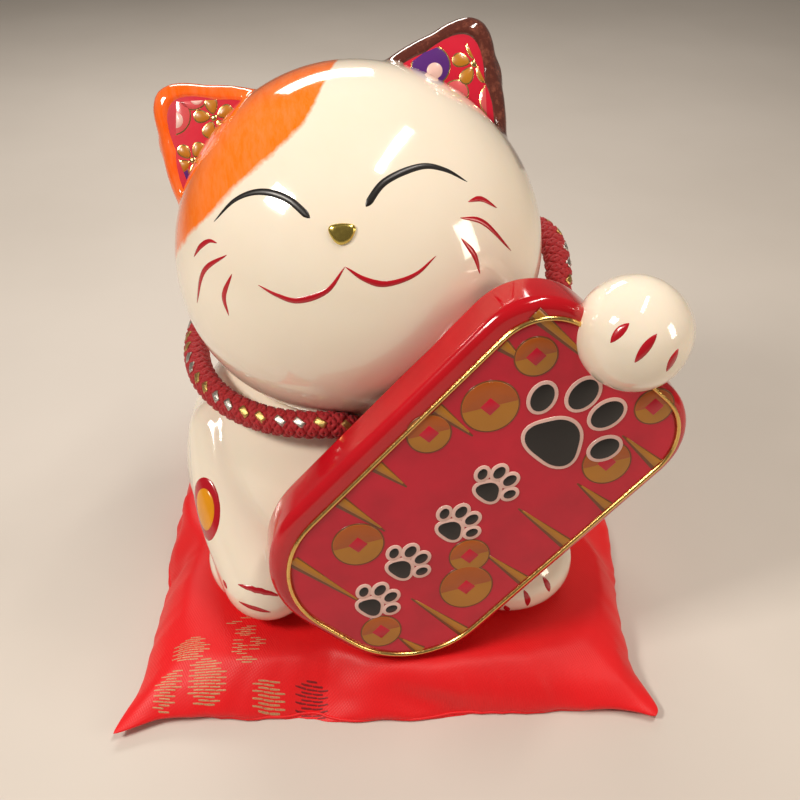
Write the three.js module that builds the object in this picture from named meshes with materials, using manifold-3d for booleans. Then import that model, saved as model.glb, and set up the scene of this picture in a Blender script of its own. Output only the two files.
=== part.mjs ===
// A ceramic beckoning cat that sits on its own satin cushion and props up an oblong plaque.
// Millimetres, +Z up, the cat faces -Y, left and right are the cat's own (its left is +X).
// Origin: middle of the cushion's underside.
import * as THREE from 'three';
import { mergeVertices } from 'three/addons/utils/BufferGeometryUtils.js';
import Module from 'manifold-3d';

const wasm = await Module();
wasm.setup();

// ---- driving dimensions ------------------------------------------------------------------
const clearance = 0.3; // between any two pieces that touch
const cutPast = 5; // how far a cutter runs on past what it cuts

// cushion
const cushionWidth = 150;
const cushionDepth = 150;
const seatHeight = 14; // top of the cushion where the cat presses it flat
const cushionCrown = 16.5; // height the filling would have without the cat
const seamHeight = 5; // height of the seam round the four sides
const pressedFlat = 0.6; // the underside lies flat where the filling is plumper than this
const coverThickness = 0.8;
const cushionSteps = 10; // facets along each side

// body casting
const ceramicWall = 4.5;
const bodyHalfWidth = 63;
const bodyHalfDepth = 47;
const bodyHeight = 71;
const bodySetback = 2; // the body's middle lies this far in front of the cushion's
const footRingWidth = 7;
const footRecess = 9;
const castingHoleRadius = 10;

// where the body's surface ends, for the pieces that join it
const bodySide = bodyHalfWidth;
const bodyFront = -(bodyHalfDepth + bodySetback);
const bodyBack = bodyHalfDepth - bodySetback;

// soft stopper in the casting hole
const stopperFlange = 2.5;
const stopperLip = 1.8;
const stopperReach = 5.2;
const stopperChamfer = 1;

// head casting
const headCentre = new THREE.Vector3(-8.6, -3, bodyHeight + 27.2);
const headHalfWidth = 49;
const headHalfDepth = 43.5;
const headHalfHeight = 47;
const cheekFullness = 0.05; // the lower half is this much wider than the upper half
const headPitch = THREE.MathUtils.degToRad(-29);
const headRoll = THREE.MathUtils.degToRad(-12);
const headYaw = THREE.MathUtils.degToRad(-2);
const neckHoleRadius = 13;
const noseWidth = 7.4;
const noseHeight = 5.6;
const noseDepth = 2.4;
const noseEdge = 0.5; // bevel all round
const noseProud = 1.6; // the pad starts this far under the face

// ears
const earTipReach = 69; // head's middle to the ear's tip
const earTipAngle = THREE.MathUtils.degToRad(40.5);
const earInnerAngle = THREE.MathUtils.degToRad(15);
const earOuterAngle = THREE.MathUtils.degToRad(83);
const earRootSink = 9; // the root starts this far inside the head's half width
const earTipRound = 8;
const earThickness = 9;
const earForward = 2; // the ear's middle lies this far in front of the head's
const earRim = 3.2; // plain border round the patterned hollow
const earHollow = 1.4;
const earEdgeRound = 1.6;

// transfers, the printed sheets fired onto the glaze
const transferThickness = 0.5;

// plaque, placed by the middle of its gilt-edged face
const plaqueCentre = new THREE.Vector3(21.7, bodyFront - 7.8, 50.9);
const plaqueYaw = THREE.MathUtils.degToRad(8.7);
const plaqueLean = THREE.MathUtils.degToRad(4.5);
const plaqueSlope = THREE.MathUtils.degToRad(45.7);
const plaqueThickness = 14;
const plaqueEdgeRound = 2.3;
const faceLength = 106.6;
const faceWidth = 60.2;
const faceFootRadius = 24; // corners at the low end
const faceHeadRadius = 15; // corners at the high end
const faceMargin = 2.3; // the slab stands this far out past the face on its outer sides
const sideMargin = 2.6; // and this much more along the side next to the head
const rimWidth = 1.3;
const rimHeight = 0.8;

// limbs: each bead is a middle point and a radius, in the cat's frame
const loweredArmBeads = [
  [new THREE.Vector3(15 - bodySide, bodyFront + 33, 44), 10.5],
  [new THREE.Vector3(19 - bodySide, bodyFront + 19.5, 29), 12],
  [new THREE.Vector3(27 - bodySide, bodyFront + 7.5, 13.2), 13],
];
const raisedArmBeads = [
  [new THREE.Vector3(bodySide - 21, bodyFront + 43, bodyHeight - 19), 15],
  [new THREE.Vector3(bodySide - 8, bodyFront + 27, bodyHeight + 1), 12],
  [new THREE.Vector3(bodySide - 2, bodyFront + 9, bodyHeight + 21), 12.5],
  [new THREE.Vector3(bodySide - 5.2, bodyFront + 1.5, bodyHeight + 26.2), 14.2],
];
const footMiddle = new THREE.Vector3(bodySide - 29, bodyFront + 18, 9.5);
const footHalfSizes = new THREE.Vector3(20, 20, 13);
const tailBeads = [
  [new THREE.Vector3(6, bodyBack - 3, 12), 8],
  [new THREE.Vector3(16, bodyBack + 1, 15), 8.5],
];

// collar cord, tucked at both ends into a hole in the chest
const cordRadius = 3;
const cordHoleRadius = 3.6;
const cordSides = 8;
const cordSteps = 64;
const cordRoute = [
  [-5, -27, 46],
  [-6.5, -31.5, 53],
  [-10, -38, 61.5],
  [-14, -39.6, 64],
  [-22, -39, 63.6],
  [-32, -36, 63],
  [-43, -28.5, 62.6],
  [-52, -16, 62.6],
  [-56.5, 1, 63],
  [-54.5, 16, 66],
  [-44, 33, 71],
  [-26, 42.5, 76],
  [-4, 46, 80],
  [17, 42, 84],
  [34, 29, 89],
  [45, 12, 92],
  [46.8, -3, 86],
  [42.5, -17, 76],
  [33, -28, 69],
  [22, -36, 65.4],
  [13.5, -38.8, 63.2],
  [9, -36.5, 60],
  [6.5, -31.5, 53],
  [5, -27, 46],
].map(([x, y, z]) => new THREE.Vector3(x, y, z));

// ---- materials ---------------------------------------------------------------------------
const glaze = (color) => new THREE.MeshStandardMaterial({ color, roughness: 0.12, metalness: 0 });
const whiteGlaze = glaze(0xf3e6d8);
const orangeGlaze = glaze(0xe9882a);
const brownGlaze = glaze(0x6b3a2c);
const redGlaze = glaze(0xc81526);
const printedSheet = new THREE.MeshStandardMaterial({ color: 0xb3121f, roughness: 0.25, metalness: 0 });
const gilt = new THREE.MeshStandardMaterial({ color: 0xb08a2e, roughness: 0.25, metalness: 1 });
const satin = new THREE.MeshStandardMaterial({ color: 0xc60f18, roughness: 0.45, metalness: 0 });
const wadding = new THREE.MeshStandardMaterial({ color: 0xefece4, roughness: 0.95, metalness: 0 });
const braid = new THREE.MeshStandardMaterial({ color: 0xb5161c, roughness: 0.8, metalness: 0 });
const softPlug = new THREE.MeshStandardMaterial({ color: 0xd9d4c8, roughness: 0.6, metalness: 0 });

// ---- solids ------------------------------------------------------------------------------
// A closed geometry as a solid that can be joined and cut.
function solid(geometry) {
  const bare = geometry.clone();
  bare.deleteAttribute('normal');
  bare.deleteAttribute('uv');
  const merged = mergeVertices(bare, 1e-5);
  const mesh = new wasm.Mesh({
    numProp: 3,
    vertProperties: Float32Array.from(merged.attributes.position.array),
    triVerts: Uint32Array.from(merged.index.array),
  });
  return new wasm.Manifold(mesh);
}

function geometryOf(body) {
  const { vertProperties, triVerts, numProp } = body.getMesh();
  const position = new Float32Array((vertProperties.length / numProp) * 3);
  for (let i = 0; i < position.length / 3; i += 1) {
    position[3 * i] = vertProperties[numProp * i];
    position[3 * i + 1] = vertProperties[numProp * i + 1];
    position[3 * i + 2] = vertProperties[numProp * i + 2];
  }
  const geometry = new THREE.BufferGeometry();
  geometry.setAttribute('position', new THREE.BufferAttribute(position, 3));
  geometry.setIndex(new THREE.BufferAttribute(Uint32Array.from(triVerts), 1));
  geometry.computeVertexNormals();
  return geometry;
}

function joined(bodies) {
  return bodies.reduce((whole, body) => whole.add(body));
}

function cutBy(body, cutters) {
  return cutters.reduce((rest, cutter) => rest.subtract(cutter), body);
}

// A geometry given in one group's frame, moved into another group's frame.
function carried(geometry, from, to) {
  from.updateWorldMatrix(true, false);
  to.updateWorldMatrix(true, false);
  const move = to.matrixWorld.clone().invert().multiply(from.matrixWorld);
  return geometry.clone().applyMatrix4(move);
}

function addNode(group, name, body, material) {
  const geometry = body.isBufferGeometry ? body : geometryOf(body);
  const mesh = new THREE.Mesh(geometry, material);
  mesh.name = name;
  group.add(mesh);
}

// Round beads joined by tapering stems.
function beadChain(beads, grow = 0, segments = 16) {
  const bodies = beads.map(([middle, radius]) => {
    const ball = new THREE.SphereGeometry(radius + grow, segments, segments / 2 + 2);
    return solid(ball.translate(middle.x, middle.y, middle.z));
  });
  for (let i = 1; i < beads.length; i += 1) {
    const [start, startRadius] = beads[i - 1];
    const [end, endRadius] = beads[i];
    const along = end.clone().sub(start);
    const stem = new THREE.CylinderGeometry(endRadius + grow, startRadius + grow, along.length(), segments);
    const turn = new THREE.Quaternion().setFromUnitVectors(
      new THREE.Vector3(0, 1, 0),
      along.clone().normalize(),
    );
    const middle = start.clone().add(end).multiplyScalar(0.5);
    stem.applyQuaternion(turn);
    stem.translate(middle.x, middle.y, middle.z);
    bodies.push(solid(stem));
  }
  return joined(bodies);
}

// ---- the scene's frames ------------------------------------------------------------------
const figurine = new THREE.Group();
const cat = new THREE.Group();
cat.position.z = seatHeight + clearance;
figurine.add(cat);

const head = new THREE.Group();
head.position.copy(headCentre);
head.rotation.set(headPitch, headRoll, headYaw, 'XYZ');
cat.add(head);

const easel = new THREE.Group(); // faces +Z along the plaque's outward normal
easel.position.copy(plaqueCentre);
easel.rotation.set(Math.PI / 2 - plaqueLean, 0, plaqueYaw, 'ZXY');
cat.add(easel);
const plaque = new THREE.Group(); // +X along the plaque, +Y across it
plaque.rotation.z = plaqueSlope;
easel.add(plaque);

// ---- cushion -----------------------------------------------------------------------------
// Plump fraction, 1 in the middle and 0 on the seam, rounded like a filled pillow.
function plumpness(s, t) {
  const roll = (q) => Math.sqrt(Math.max(0, 1 - Math.abs(q) ** 5));
  return roll(s) * roll(t);
}

// A solid between two height fields over the cushion's square, `ring` facets in from the seam.
function quilted(ring, under, over) {
  const n = cushionSteps - 2 * ring;
  const positions = [];
  const faces = [];
  const ease = (i) => Math.sin((((i + ring) / cushionSteps) * 2 - 1) * (Math.PI / 2));
  [over, under].forEach((height) => {
    for (let j = 0; j <= n; j += 1) {
      for (let i = 0; i <= n; i += 1) {
        const s = ease(i);
        const t = ease(j);
        positions.push((s * cushionWidth) / 2, (t * cushionDepth) / 2, height(s, t));
      }
    }
  });
  const row = n + 1;
  const below = row * row;
  const quad = (a, b, c, d) => faces.push(a, b, c, a, c, d);
  for (let j = 0; j < n; j += 1) {
    for (let i = 0; i < n; i += 1) {
      const a = j * row + i;
      quad(a, a + 1, a + row + 1, a + row);
      quad(below + a, below + a + row, below + a + row + 1, below + a + 1);
    }
  }
  for (let i = 0; i < n; i += 1) {
    const back = n * row + i;
    const left = i * row;
    const right = i * row + n;
    quad(below + i, below + i + 1, i + 1, i);
    quad(below + back + 1, below + back, back, back + 1);
    quad(below + left + row, below + left, left, left + row);
    quad(below + right, below + right + row, right + row, right);
  }
  const geometry = new THREE.BufferGeometry();
  geometry.setAttribute('position', new THREE.Float32BufferAttribute(positions, 3));
  geometry.setIndex(faces);
  geometry.computeVertexNormals();
  return geometry;
}

const topSurface = (s, t) => {
  const plump = seamHeight + (cushionCrown - seamHeight) * plumpness(s, t);
  return Math.min(seatHeight, plump);
};
const seamUnderside = seamHeight - 2 * coverThickness - clearance;
const bottomSurface = (s, t) => seamUnderside * Math.max(0, 1 - plumpness(s, t) / pressedFlat);

function addCushion() {
  const topUnderside = (s, t) => topSurface(s, t) - coverThickness;
  const bottomUpside = (s, t) => bottomSurface(s, t) + coverThickness;
  addNode(figurine, 'cushion_top_cover', quilted(0, topUnderside, topSurface), satin);
  addNode(figurine, 'cushion_bottom_cover', quilted(0, bottomSurface, bottomUpside), satin);
  const fill = quilted(
    1, // the filling stops one facet short of the seam
    (s, t) => bottomUpside(s, t) + clearance,
    (s, t) => topUnderside(s, t) - clearance,
  );
  addNode(figurine, 'cushion_wadding', fill, wadding);
}

// ---- head --------------------------------------------------------------------------------
function headForm(grow, segments = 32) {
  const ball = new THREE.SphereGeometry(1, segments, Math.round(segments * 0.6));
  ball.rotateX(Math.PI / 2);
  const place = ball.attributes.position;
  for (let i = 0; i < place.count; i += 1) {
    const up = place.getZ(i);
    place.setXYZ(
      i,
      place.getX(i) * (headHalfWidth * (1 - cheekFullness * up) + grow),
      place.getY(i) * (headHalfDepth + grow),
      up * (headHalfHeight + grow),
    );
  }
  return ball;
}

const headInCat = (grow) => solid(carried(headForm(grow), head, cat));

function addHead(slabCutter, cordCutter) {
  const hollow = solid(headForm(-ceramicWall, 18));
  const neckReach = headHalfHeight + headHalfDepth; // well out through the underside
  const neck = new THREE.CylinderGeometry(neckHoleRadius, neckHoleRadius, neckReach, 24);
  neck.rotateX(Math.PI / 2);
  neck.translate(0, 0, -neckReach / 2);
  const plumb = new THREE.Group(); // the neck hole stays vertical under the tipped head
  plumb.position.copy(headCentre);
  cat.add(plumb);
  const neckHole = solid(carried(neck, plumb, head));
  cat.remove(plumb);
  const nosePad = noseForm(clearance);
  const shell = cutBy(solid(headForm(0)), [hollow, neckHole, nosePad, slabCutter, cordCutter]);
  addNode(head, 'head_shell', shell, whiteGlaze);
  addNode(head, 'nose', noseForm(0), gilt);
}

// A rounded triangular pad let into the face, point down.
function noseForm(grow) {
  const shape = new THREE.Shape();
  const half = noseWidth / 2 + grow;
  const top = noseHeight / 2 + grow;
  shape.moveTo(-half, top * 0.5);
  shape.quadraticCurveTo(-half, top, -half * 0.5, top);
  shape.lineTo(half * 0.5, top);
  shape.quadraticCurveTo(half, top, half, top * 0.5);
  shape.quadraticCurveTo(half * 0.6, -top * 0.7, 0, -top);
  shape.quadraticCurveTo(-half * 0.6, -top * 0.7, -half, top * 0.5);
  const pad = new THREE.ExtrudeGeometry(shape, {
    depth: noseDepth + grow,
    bevelEnabled: true,
    bevelThickness: noseEdge,
    bevelSize: noseEdge,
    bevelOffset: -noseEdge,
    bevelSegments: 1,
    curveSegments: 5,
  });
  pad.rotateX(Math.PI / 2);
  pad.translate(0, -(headHalfDepth - noseProud) + grow, 0);
  return solid(pad);
}

// ---- ears --------------------------------------------------------------------------------
const polar = (radius, angle) => new THREE.Vector2(radius * Math.sin(angle), radius * Math.cos(angle));

// The ear's outline in the plane across the head, set in from its edge by `inset`.
function earOutline(inset) {
  const root = headHalfWidth - earRootSink;
  const inner = polar(root, earInnerAngle);
  const outer = polar(root, earOuterAngle);
  const tip = polar(earTipReach - inset * 1.5, earTipAngle);
  const inward = (from, to, amount) => from.clone().lerp(to, amount / from.distanceTo(to));
  const innerRoot = inward(inner, outer, inset * 1.25);
  const outerRoot = inward(outer, inner, inset * 1.25);
  const tipInner = inward(tip, innerRoot, earTipRound).add(polar(0.6, earInnerAngle));
  const tipOuter = inward(tip, outerRoot, earTipRound);
  const shape = new THREE.Shape();
  shape.moveTo(innerRoot.x, innerRoot.y);
  const bulge = innerRoot.clone().lerp(tipInner, 0.55).add(new THREE.Vector2(-2.2, 1.6));
  shape.quadraticCurveTo(bulge.x, bulge.y, tipInner.x, tipInner.y);
  shape.quadraticCurveTo(tip.x, tip.y, tipOuter.x, tipOuter.y);
  const flank = tipOuter.clone().lerp(outerRoot, 0.5).add(new THREE.Vector2(2.6, 1.6));
  shape.quadraticCurveTo(flank.x, flank.y, outerRoot.x, outerRoot.y);
  shape.closePath();
  return shape;
}

// An ear slab standing across the head; the outline's Y becomes the head's Z.
function earSlab(inset, front, depth, round) {
  const slab = new THREE.ExtrudeGeometry(earOutline(inset), {
    depth: depth - 2 * round,
    bevelEnabled: round > 0,
    bevelThickness: round,
    bevelSize: round,
    bevelOffset: -round,
    bevelSegments: 3,
    curveSegments: 8,
  });
  slab.translate(0, 0, round);
  slab.rotateX(Math.PI / 2); // the depth now runs along -Y
  slab.translate(0, front + depth, 0);
  return slab;
}

function mirrored(geometry) {
  const copy = geometry.clone().scale(-1, 1, 1);
  copy.deleteAttribute('normal');
  copy.deleteAttribute('uv');
  const corners = copy.attributes.position.count;
  copy.setIndex([...Array(corners).keys()].reverse()); // turns every face the right way out again
  return copy;
}

function addEar(name, side, material) {
  const sided = (geometry) => (side < 0 ? mirrored(geometry) : geometry);
  const front = -earThickness / 2 - earForward;
  const skull = solid(headForm(clearance));
  const pocket = solid(sided(earSlab(earRim, front - 1, earHollow + 1, 0)));
  const ear = cutBy(solid(sided(earSlab(0, front, earThickness, earEdgeRound))), [skull, pocket]);
  addNode(head, name, ear, material);

  const sheetFront = front + earHollow - clearance - transferThickness;
  const sheet = earSlab(earRim + clearance, sheetFront, transferThickness, 0);
  addNode(head, `${name}_transfer`, cutBy(solid(sided(sheet)), [skull]), printedSheet);
}

// ---- plaque ------------------------------------------------------------------------------
const faceSizes = [faceLength, faceWidth, faceFootRadius, faceHeadRadius];
const slabSizes = [
  faceLength + 2 * faceMargin,
  faceWidth + 2 * faceMargin + sideMargin,
  faceFootRadius + faceMargin,
  faceHeadRadius + faceMargin,
];

// A long shape with its own corner radius at each end, grown outward by `grow`.
function oblong([fullLength, fullWidth, footRadius, headRadius], grow) {
  const length = fullLength / 2 + grow;
  const width = fullWidth / 2 + grow;
  const low = footRadius + grow;
  const high = headRadius + grow;
  const shape = new THREE.Shape();
  shape.moveTo(-length + low, -width);
  shape.lineTo(length - high, -width);
  shape.absarc(length - high, -width + high, high, -Math.PI / 2, 0, false);
  shape.lineTo(length, width - high);
  shape.absarc(length - high, width - high, high, 0, Math.PI / 2, false);
  shape.lineTo(-length + low, width);
  shape.absarc(-length + low, width - low, low, Math.PI / 2, Math.PI, false);
  shape.lineTo(-length, -width + low);
  shape.absarc(-length + low, -width + low, low, Math.PI, Math.PI * 1.5, false);
  return shape;
}

function slabForm(grow) {
  const round = plaqueEdgeRound + grow;
  const slab = new THREE.ExtrudeGeometry(oblong(slabSizes, grow), {
    depth: plaqueThickness + 2 * grow - 2 * round,
    bevelEnabled: true,
    bevelThickness: round,
    bevelSize: round,
    bevelOffset: -round,
    bevelSegments: 3,
    curveSegments: 8,
  });
  slab.translate(0, sideMargin / 2, -plaqueThickness - grow + round);
  return slab;
}

function addPlaque(headCutter, groundCutter, armCutter, cordCutter) {
  const slab = cutBy(solid(slabForm(0)), [headCutter, groundCutter, cordCutter]);
  addNode(plaque, 'plaque_slab', slab, redGlaze);

  const rimOutline = oblong(faceSizes, 0);
  rimOutline.holes.push(oblong(faceSizes, -rimWidth));
  const rim = new THREE.ExtrudeGeometry(rimOutline, {
    depth: rimHeight,
    bevelEnabled: false,
    curveSegments: 8,
  });
  rim.translate(0, 0, clearance);
  addNode(plaque, 'plaque_gilt_rim', cutBy(solid(rim), [armCutter]), gilt);

  const sheet = new THREE.ExtrudeGeometry(oblong(faceSizes, -rimWidth - clearance), {
    depth: transferThickness,
    bevelEnabled: false,
    curveSegments: 8,
  });
  sheet.translate(0, 0, clearance);
  addNode(plaque, 'plaque_face_transfer', cutBy(solid(sheet), [armCutter]), printedSheet);
}

// ---- body --------------------------------------------------------------------------------
// Half profile of the squat body: [fraction of the half width, fraction of the height].
const bodyProfile = [
  [0.84, 0],
  [0.93, 0.08],
  [0.99, 0.22],
  [1, 0.38],
  [0.96, 0.56],
  [0.87, 0.72],
  [0.73, 0.86],
  [0.5, 0.96],
  [0.24, 1],
];
const footRingRadius = bodyHalfWidth * bodyProfile[0][0];

function latheSolid(points, segments) {
  const lathe = new THREE.LatheGeometry(points, segments);
  lathe.rotateX(Math.PI / 2); // the lathe's Y becomes the body's Z
  return lathe;
}

function bodyForm(grow, segments = 32) {
  const points = [new THREE.Vector2(0, -grow)];
  const widest = bodyProfile.findIndex(([wide]) => wide === 1);
  bodyProfile.forEach(([wide, high], i) => {
    const out = Math.sign(i - widest) * grow; // down below the widest ring, up above it
    points.push(new THREE.Vector2(wide * bodyHalfWidth + grow, high * bodyHeight + out));
  });
  points.push(new THREE.Vector2(0, bodyHeight + grow));
  const form = latheSolid(points, segments);
  form.scale(1, bodyHalfDepth / bodyHalfWidth, 1);
  form.translate(0, -bodySetback, 0);
  return form;
}

function bodyCavity() {
  const floor = footRecess + ceramicWall;
  const points = [new THREE.Vector2(0, floor)];
  const shrink = (wide) => wide * bodyHalfWidth - ceramicWall;
  points.push(new THREE.Vector2(shrink(0.93), floor));
  bodyProfile.slice(2).forEach(([wide, high]) => {
    points.push(new THREE.Vector2(shrink(wide), Math.max(floor + 1, high * bodyHeight - ceramicWall)));
  });
  points.push(new THREE.Vector2(0, bodyHeight - ceramicWall));
  const form = latheSolid(points, 20);
  form.scale(1, (bodyHalfDepth - ceramicWall) / (bodyHalfWidth - ceramicWall), 1);
  form.translate(0, -bodySetback, 0);
  return form;
}

function upright(radius, from, to, segments, depthRatio = 1) {
  const drum = new THREE.CylinderGeometry(radius, radius, to - from, segments);
  drum.rotateX(Math.PI / 2);
  drum.scale(1, depthRatio, 1);
  drum.translate(0, -bodySetback, (from + to) / 2);
  return drum;
}

function addBody(slabCutter, cordCutter) {
  const ringShape = bodyHalfDepth / bodyHalfWidth;
  const recess = upright(footRingRadius - footRingWidth, -cutPast, footRecess, 40, ringShape);
  const castingHole = upright(castingHoleRadius, 0, footRecess + ceramicWall + cutPast, 24);
  const cordHoles = [0, cordRoute.length - 1].map((end) => {
    const inside = cordRoute[end];
    const outside = cordRoute[end === 0 ? 2 : end - 2];
    const past = outside.clone().lerp(inside, -0.6);
    return beadChain([[inside, cordHoleRadius], [past, cordHoleRadius]], 0, 12);
  });
  const shell = cutBy(solid(bodyForm(0)), [
    solid(bodyCavity()),
    solid(recess),
    solid(castingHole),
    headInCat(clearance),
    slabCutter,
    cordCutter,
    ...cordHoles,
  ]);
  addNode(cat, 'torso_shell', shell, whiteGlaze);
}

function addStopper() {
  const top = footRecess - clearance;
  const low = top - stopperLip;
  const plug = latheSolid(
    [
      new THREE.Vector2(0, low),
      new THREE.Vector2(castingHoleRadius + stopperFlange, low),
      new THREE.Vector2(castingHoleRadius + stopperFlange, top),
      new THREE.Vector2(castingHoleRadius - clearance, top),
      new THREE.Vector2(castingHoleRadius - clearance, top + stopperReach - stopperChamfer),
      new THREE.Vector2(castingHoleRadius - clearance - stopperChamfer, top + stopperReach),
      new THREE.Vector2(0, top + stopperReach),
    ],
    24,
  );
  plug.translate(0, -bodySetback, 0);
  addNode(cat, 'base_stopper', solid(plug), softPlug);
}

// ---- limbs -------------------------------------------------------------------------------
function footForm(side, grow) {
  const ball = new THREE.SphereGeometry(1, 18, 12);
  ball.scale(footHalfSizes.x + grow, footHalfSizes.y + grow, footHalfSizes.z + grow);
  ball.translate(side * footMiddle.x, footMiddle.y, footMiddle.z);
  return ball;
}

const groundForm = () => new THREE.BoxGeometry(400, 400, 40).translate(0, 0, -20);

function addLimbs(slabCutter, cordCutter) {
  const ground = solid(groundForm());
  const body = solid(bodyForm(clearance));
  const skull = headInCat(clearance);
  const loweredArm = cutBy(beadChain(loweredArmBeads), [ground, body, skull, slabCutter, cordCutter]);
  addNode(cat, 'lowered_arm', loweredArm, whiteGlaze);
  const raisedArm = cutBy(beadChain(raisedArmBeads), [body, skull, slabCutter, cordCutter]);
  addNode(cat, 'raised_arm', raisedArm, whiteGlaze);
  const leftFoot = cutBy(solid(footForm(1, 0)), [ground, body, slabCutter]);
  addNode(cat, 'left_foot', leftFoot, whiteGlaze);
  const armRoom = beadChain(loweredArmBeads, clearance);
  const rightFoot = cutBy(solid(footForm(-1, 0)), [ground, body, slabCutter, armRoom]);
  addNode(cat, 'right_foot', rightFoot, whiteGlaze);
  const tail = cutBy(beadChain(tailBeads, 0, 16), [ground, body]);
  addNode(cat, 'tail', tail, whiteGlaze);
}

// ---- collar cord -------------------------------------------------------------------------
function cordForm(radius, sides, steps) {
  const section = new THREE.Shape();
  for (let i = 0; i < sides; i += 1) {
    const turn = (i / sides) * Math.PI * 2;
    const x = radius * Math.cos(turn);
    const y = radius * Math.sin(turn);
    if (i === 0) section.moveTo(x, y);
    else section.lineTo(x, y);
  }
  section.closePath();
  const route = new THREE.CatmullRomCurve3(cordRoute, false, 'centripetal');
  return new THREE.ExtrudeGeometry(section, { steps, bevelEnabled: false, extrudePath: route });
}

// ---- assembly ----------------------------------------------------------------------------
addCushion();
const slabRoom = slabForm(clearance);
const slabInCat = solid(carried(slabRoom, plaque, cat));
const slabInHead = solid(carried(slabRoom, plaque, head));
const headInPlaque = solid(carried(headForm(clearance), head, plaque));
const groundInPlaque = solid(carried(groundForm(), cat, plaque));
const armRoom = geometryOf(beadChain(raisedArmBeads, clearance));
const armInPlaque = solid(carried(armRoom, cat, plaque));
const cordSpace = cordForm(cordRadius + clearance, cordSides, cordSteps);
const cordRoom = solid(cordSpace);
const cordInHead = solid(carried(cordSpace, cat, head));
const cordInPlaque = solid(carried(cordSpace, cat, plaque));
addBody(slabInCat, cordRoom);
addStopper();
addHead(slabInHead, cordInHead);
addEar('right_ear', -1, orangeGlaze);
addEar('left_ear', 1, brownGlaze);
addLimbs(slabInCat, cordRoom);
addPlaque(headInPlaque, groundInPlaque, armInPlaque, cordInPlaque);
addNode(cat, 'collar_cord', solid(cordForm(cordRadius, cordSides, cordSteps)), braid);

export default figurine;
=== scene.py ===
import math
import random

import bmesh
import bpy
from mathutils import Matrix, Vector
from mathutils.bvhtree import BVHTree


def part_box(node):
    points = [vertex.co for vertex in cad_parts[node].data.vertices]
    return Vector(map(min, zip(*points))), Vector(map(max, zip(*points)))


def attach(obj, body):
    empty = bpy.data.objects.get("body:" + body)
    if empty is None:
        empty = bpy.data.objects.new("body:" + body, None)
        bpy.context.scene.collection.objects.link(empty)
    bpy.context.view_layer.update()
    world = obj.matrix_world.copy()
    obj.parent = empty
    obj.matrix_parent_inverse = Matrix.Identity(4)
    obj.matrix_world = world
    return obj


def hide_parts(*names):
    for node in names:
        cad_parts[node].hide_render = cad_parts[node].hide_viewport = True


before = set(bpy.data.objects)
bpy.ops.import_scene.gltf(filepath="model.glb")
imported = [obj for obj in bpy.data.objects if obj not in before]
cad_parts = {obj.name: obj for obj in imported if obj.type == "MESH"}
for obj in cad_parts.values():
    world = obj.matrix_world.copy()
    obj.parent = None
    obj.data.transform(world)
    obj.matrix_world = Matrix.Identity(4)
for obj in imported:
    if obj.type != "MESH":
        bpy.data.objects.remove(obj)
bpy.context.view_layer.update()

mm = 0.001
tau = 2 * math.pi


def vec(x, y, z):
    return Vector((x, y, z)) * mm


# camera and light

shot = dict(place=(2.9, -250.2, 239.3), tilt=54, lens=45.83, sensor=36)

camera = bpy.data.objects.new("camera", bpy.data.cameras.new("camera"))
camera.data.lens = shot["lens"]
camera.data.sensor_width = shot["sensor"]
camera.data.clip_start = 0.01
camera.location = vec(*shot["place"])
camera.rotation_euler = (math.radians(shot["tilt"]), 0, 0)
bpy.context.collection.objects.link(camera)
bpy.context.scene.camera = camera

lamps = [
    dict(name="windowBox", at=(-420, -260, 520), size=(170, 120), watts=2.8, colour=(1.0, 0.92, 0.83)),
    dict(name="ceilingStrip", at=(160, -60, 640), size=(360, 40), watts=1.75, colour=(1.0, 0.91, 0.83)),
    dict(name="sideFill", at=(520, -240, 260), size=(120, 200), watts=0.85, colour=(1.0, 0.84, 0.68)),
    dict(name="backRim", at=(-120, 480, 420), size=(300, 120), watts=1.3, colour=(1.0, 0.92, 0.84)),
]
aim = vec(0, 0, 70)
bpy.context.scene.view_settings.view_transform = "Standard"
for lamp in lamps:
    light = bpy.data.lights.new(lamp["name"], "AREA")
    light.shape = "RECTANGLE"
    light.size = lamp["size"][0] * mm
    light.size_y = lamp["size"][1] * mm
    light.energy = lamp["watts"]
    light.color = lamp["colour"]
    holder = bpy.data.objects.new(lamp["name"], light)
    holder.location = vec(*lamp["at"])
    holder.rotation_euler = (aim - holder.location).to_track_quat("-Z", "Y").to_euler()
    bpy.context.collection.objects.link(holder)

room = bpy.data.worlds.new("room")
bpy.context.scene.world = room
room.use_nodes = True
room.node_tree.nodes["Background"].inputs["Color"].default_value = (1.0, 0.89, 0.77, 1)
room.node_tree.nodes["Background"].inputs["Strength"].default_value = 0.16


# shader desk

class Wire:
    # a socket that can stand in a sum
    def __init__(self, desk, socket):
        self.desk = desk
        self.socket = socket

    def maths(self, operation, *terms):
        inputs = dict(enumerate(terms))
        return self.desk.node("Math", dict(operation=operation), inputs)

    def __add__(self, other):
        return self.maths("ADD", self, other)

    def __sub__(self, other):
        return self.maths("SUBTRACT", self, other)

    def __rsub__(self, other):
        return self.maths("SUBTRACT", other, self)

    def __mul__(self, other):
        return self.maths("MULTIPLY", self, other)

    def __truediv__(self, other):
        return self.maths("DIVIDE", self, other)

    __radd__ = __add__
    __rmul__ = __mul__

    def sine(self):
        return self.maths("SINE", self)

    def root(self):
        return self.maths("SQRT", self)

    # 0 below low, 1 above high
    def ramp(self, low, high):
        limits = {"Value": self, "From Min": low, "From Max": high}
        return self.desk.node("MapRange", dict(clamp=True), limits)


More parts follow.
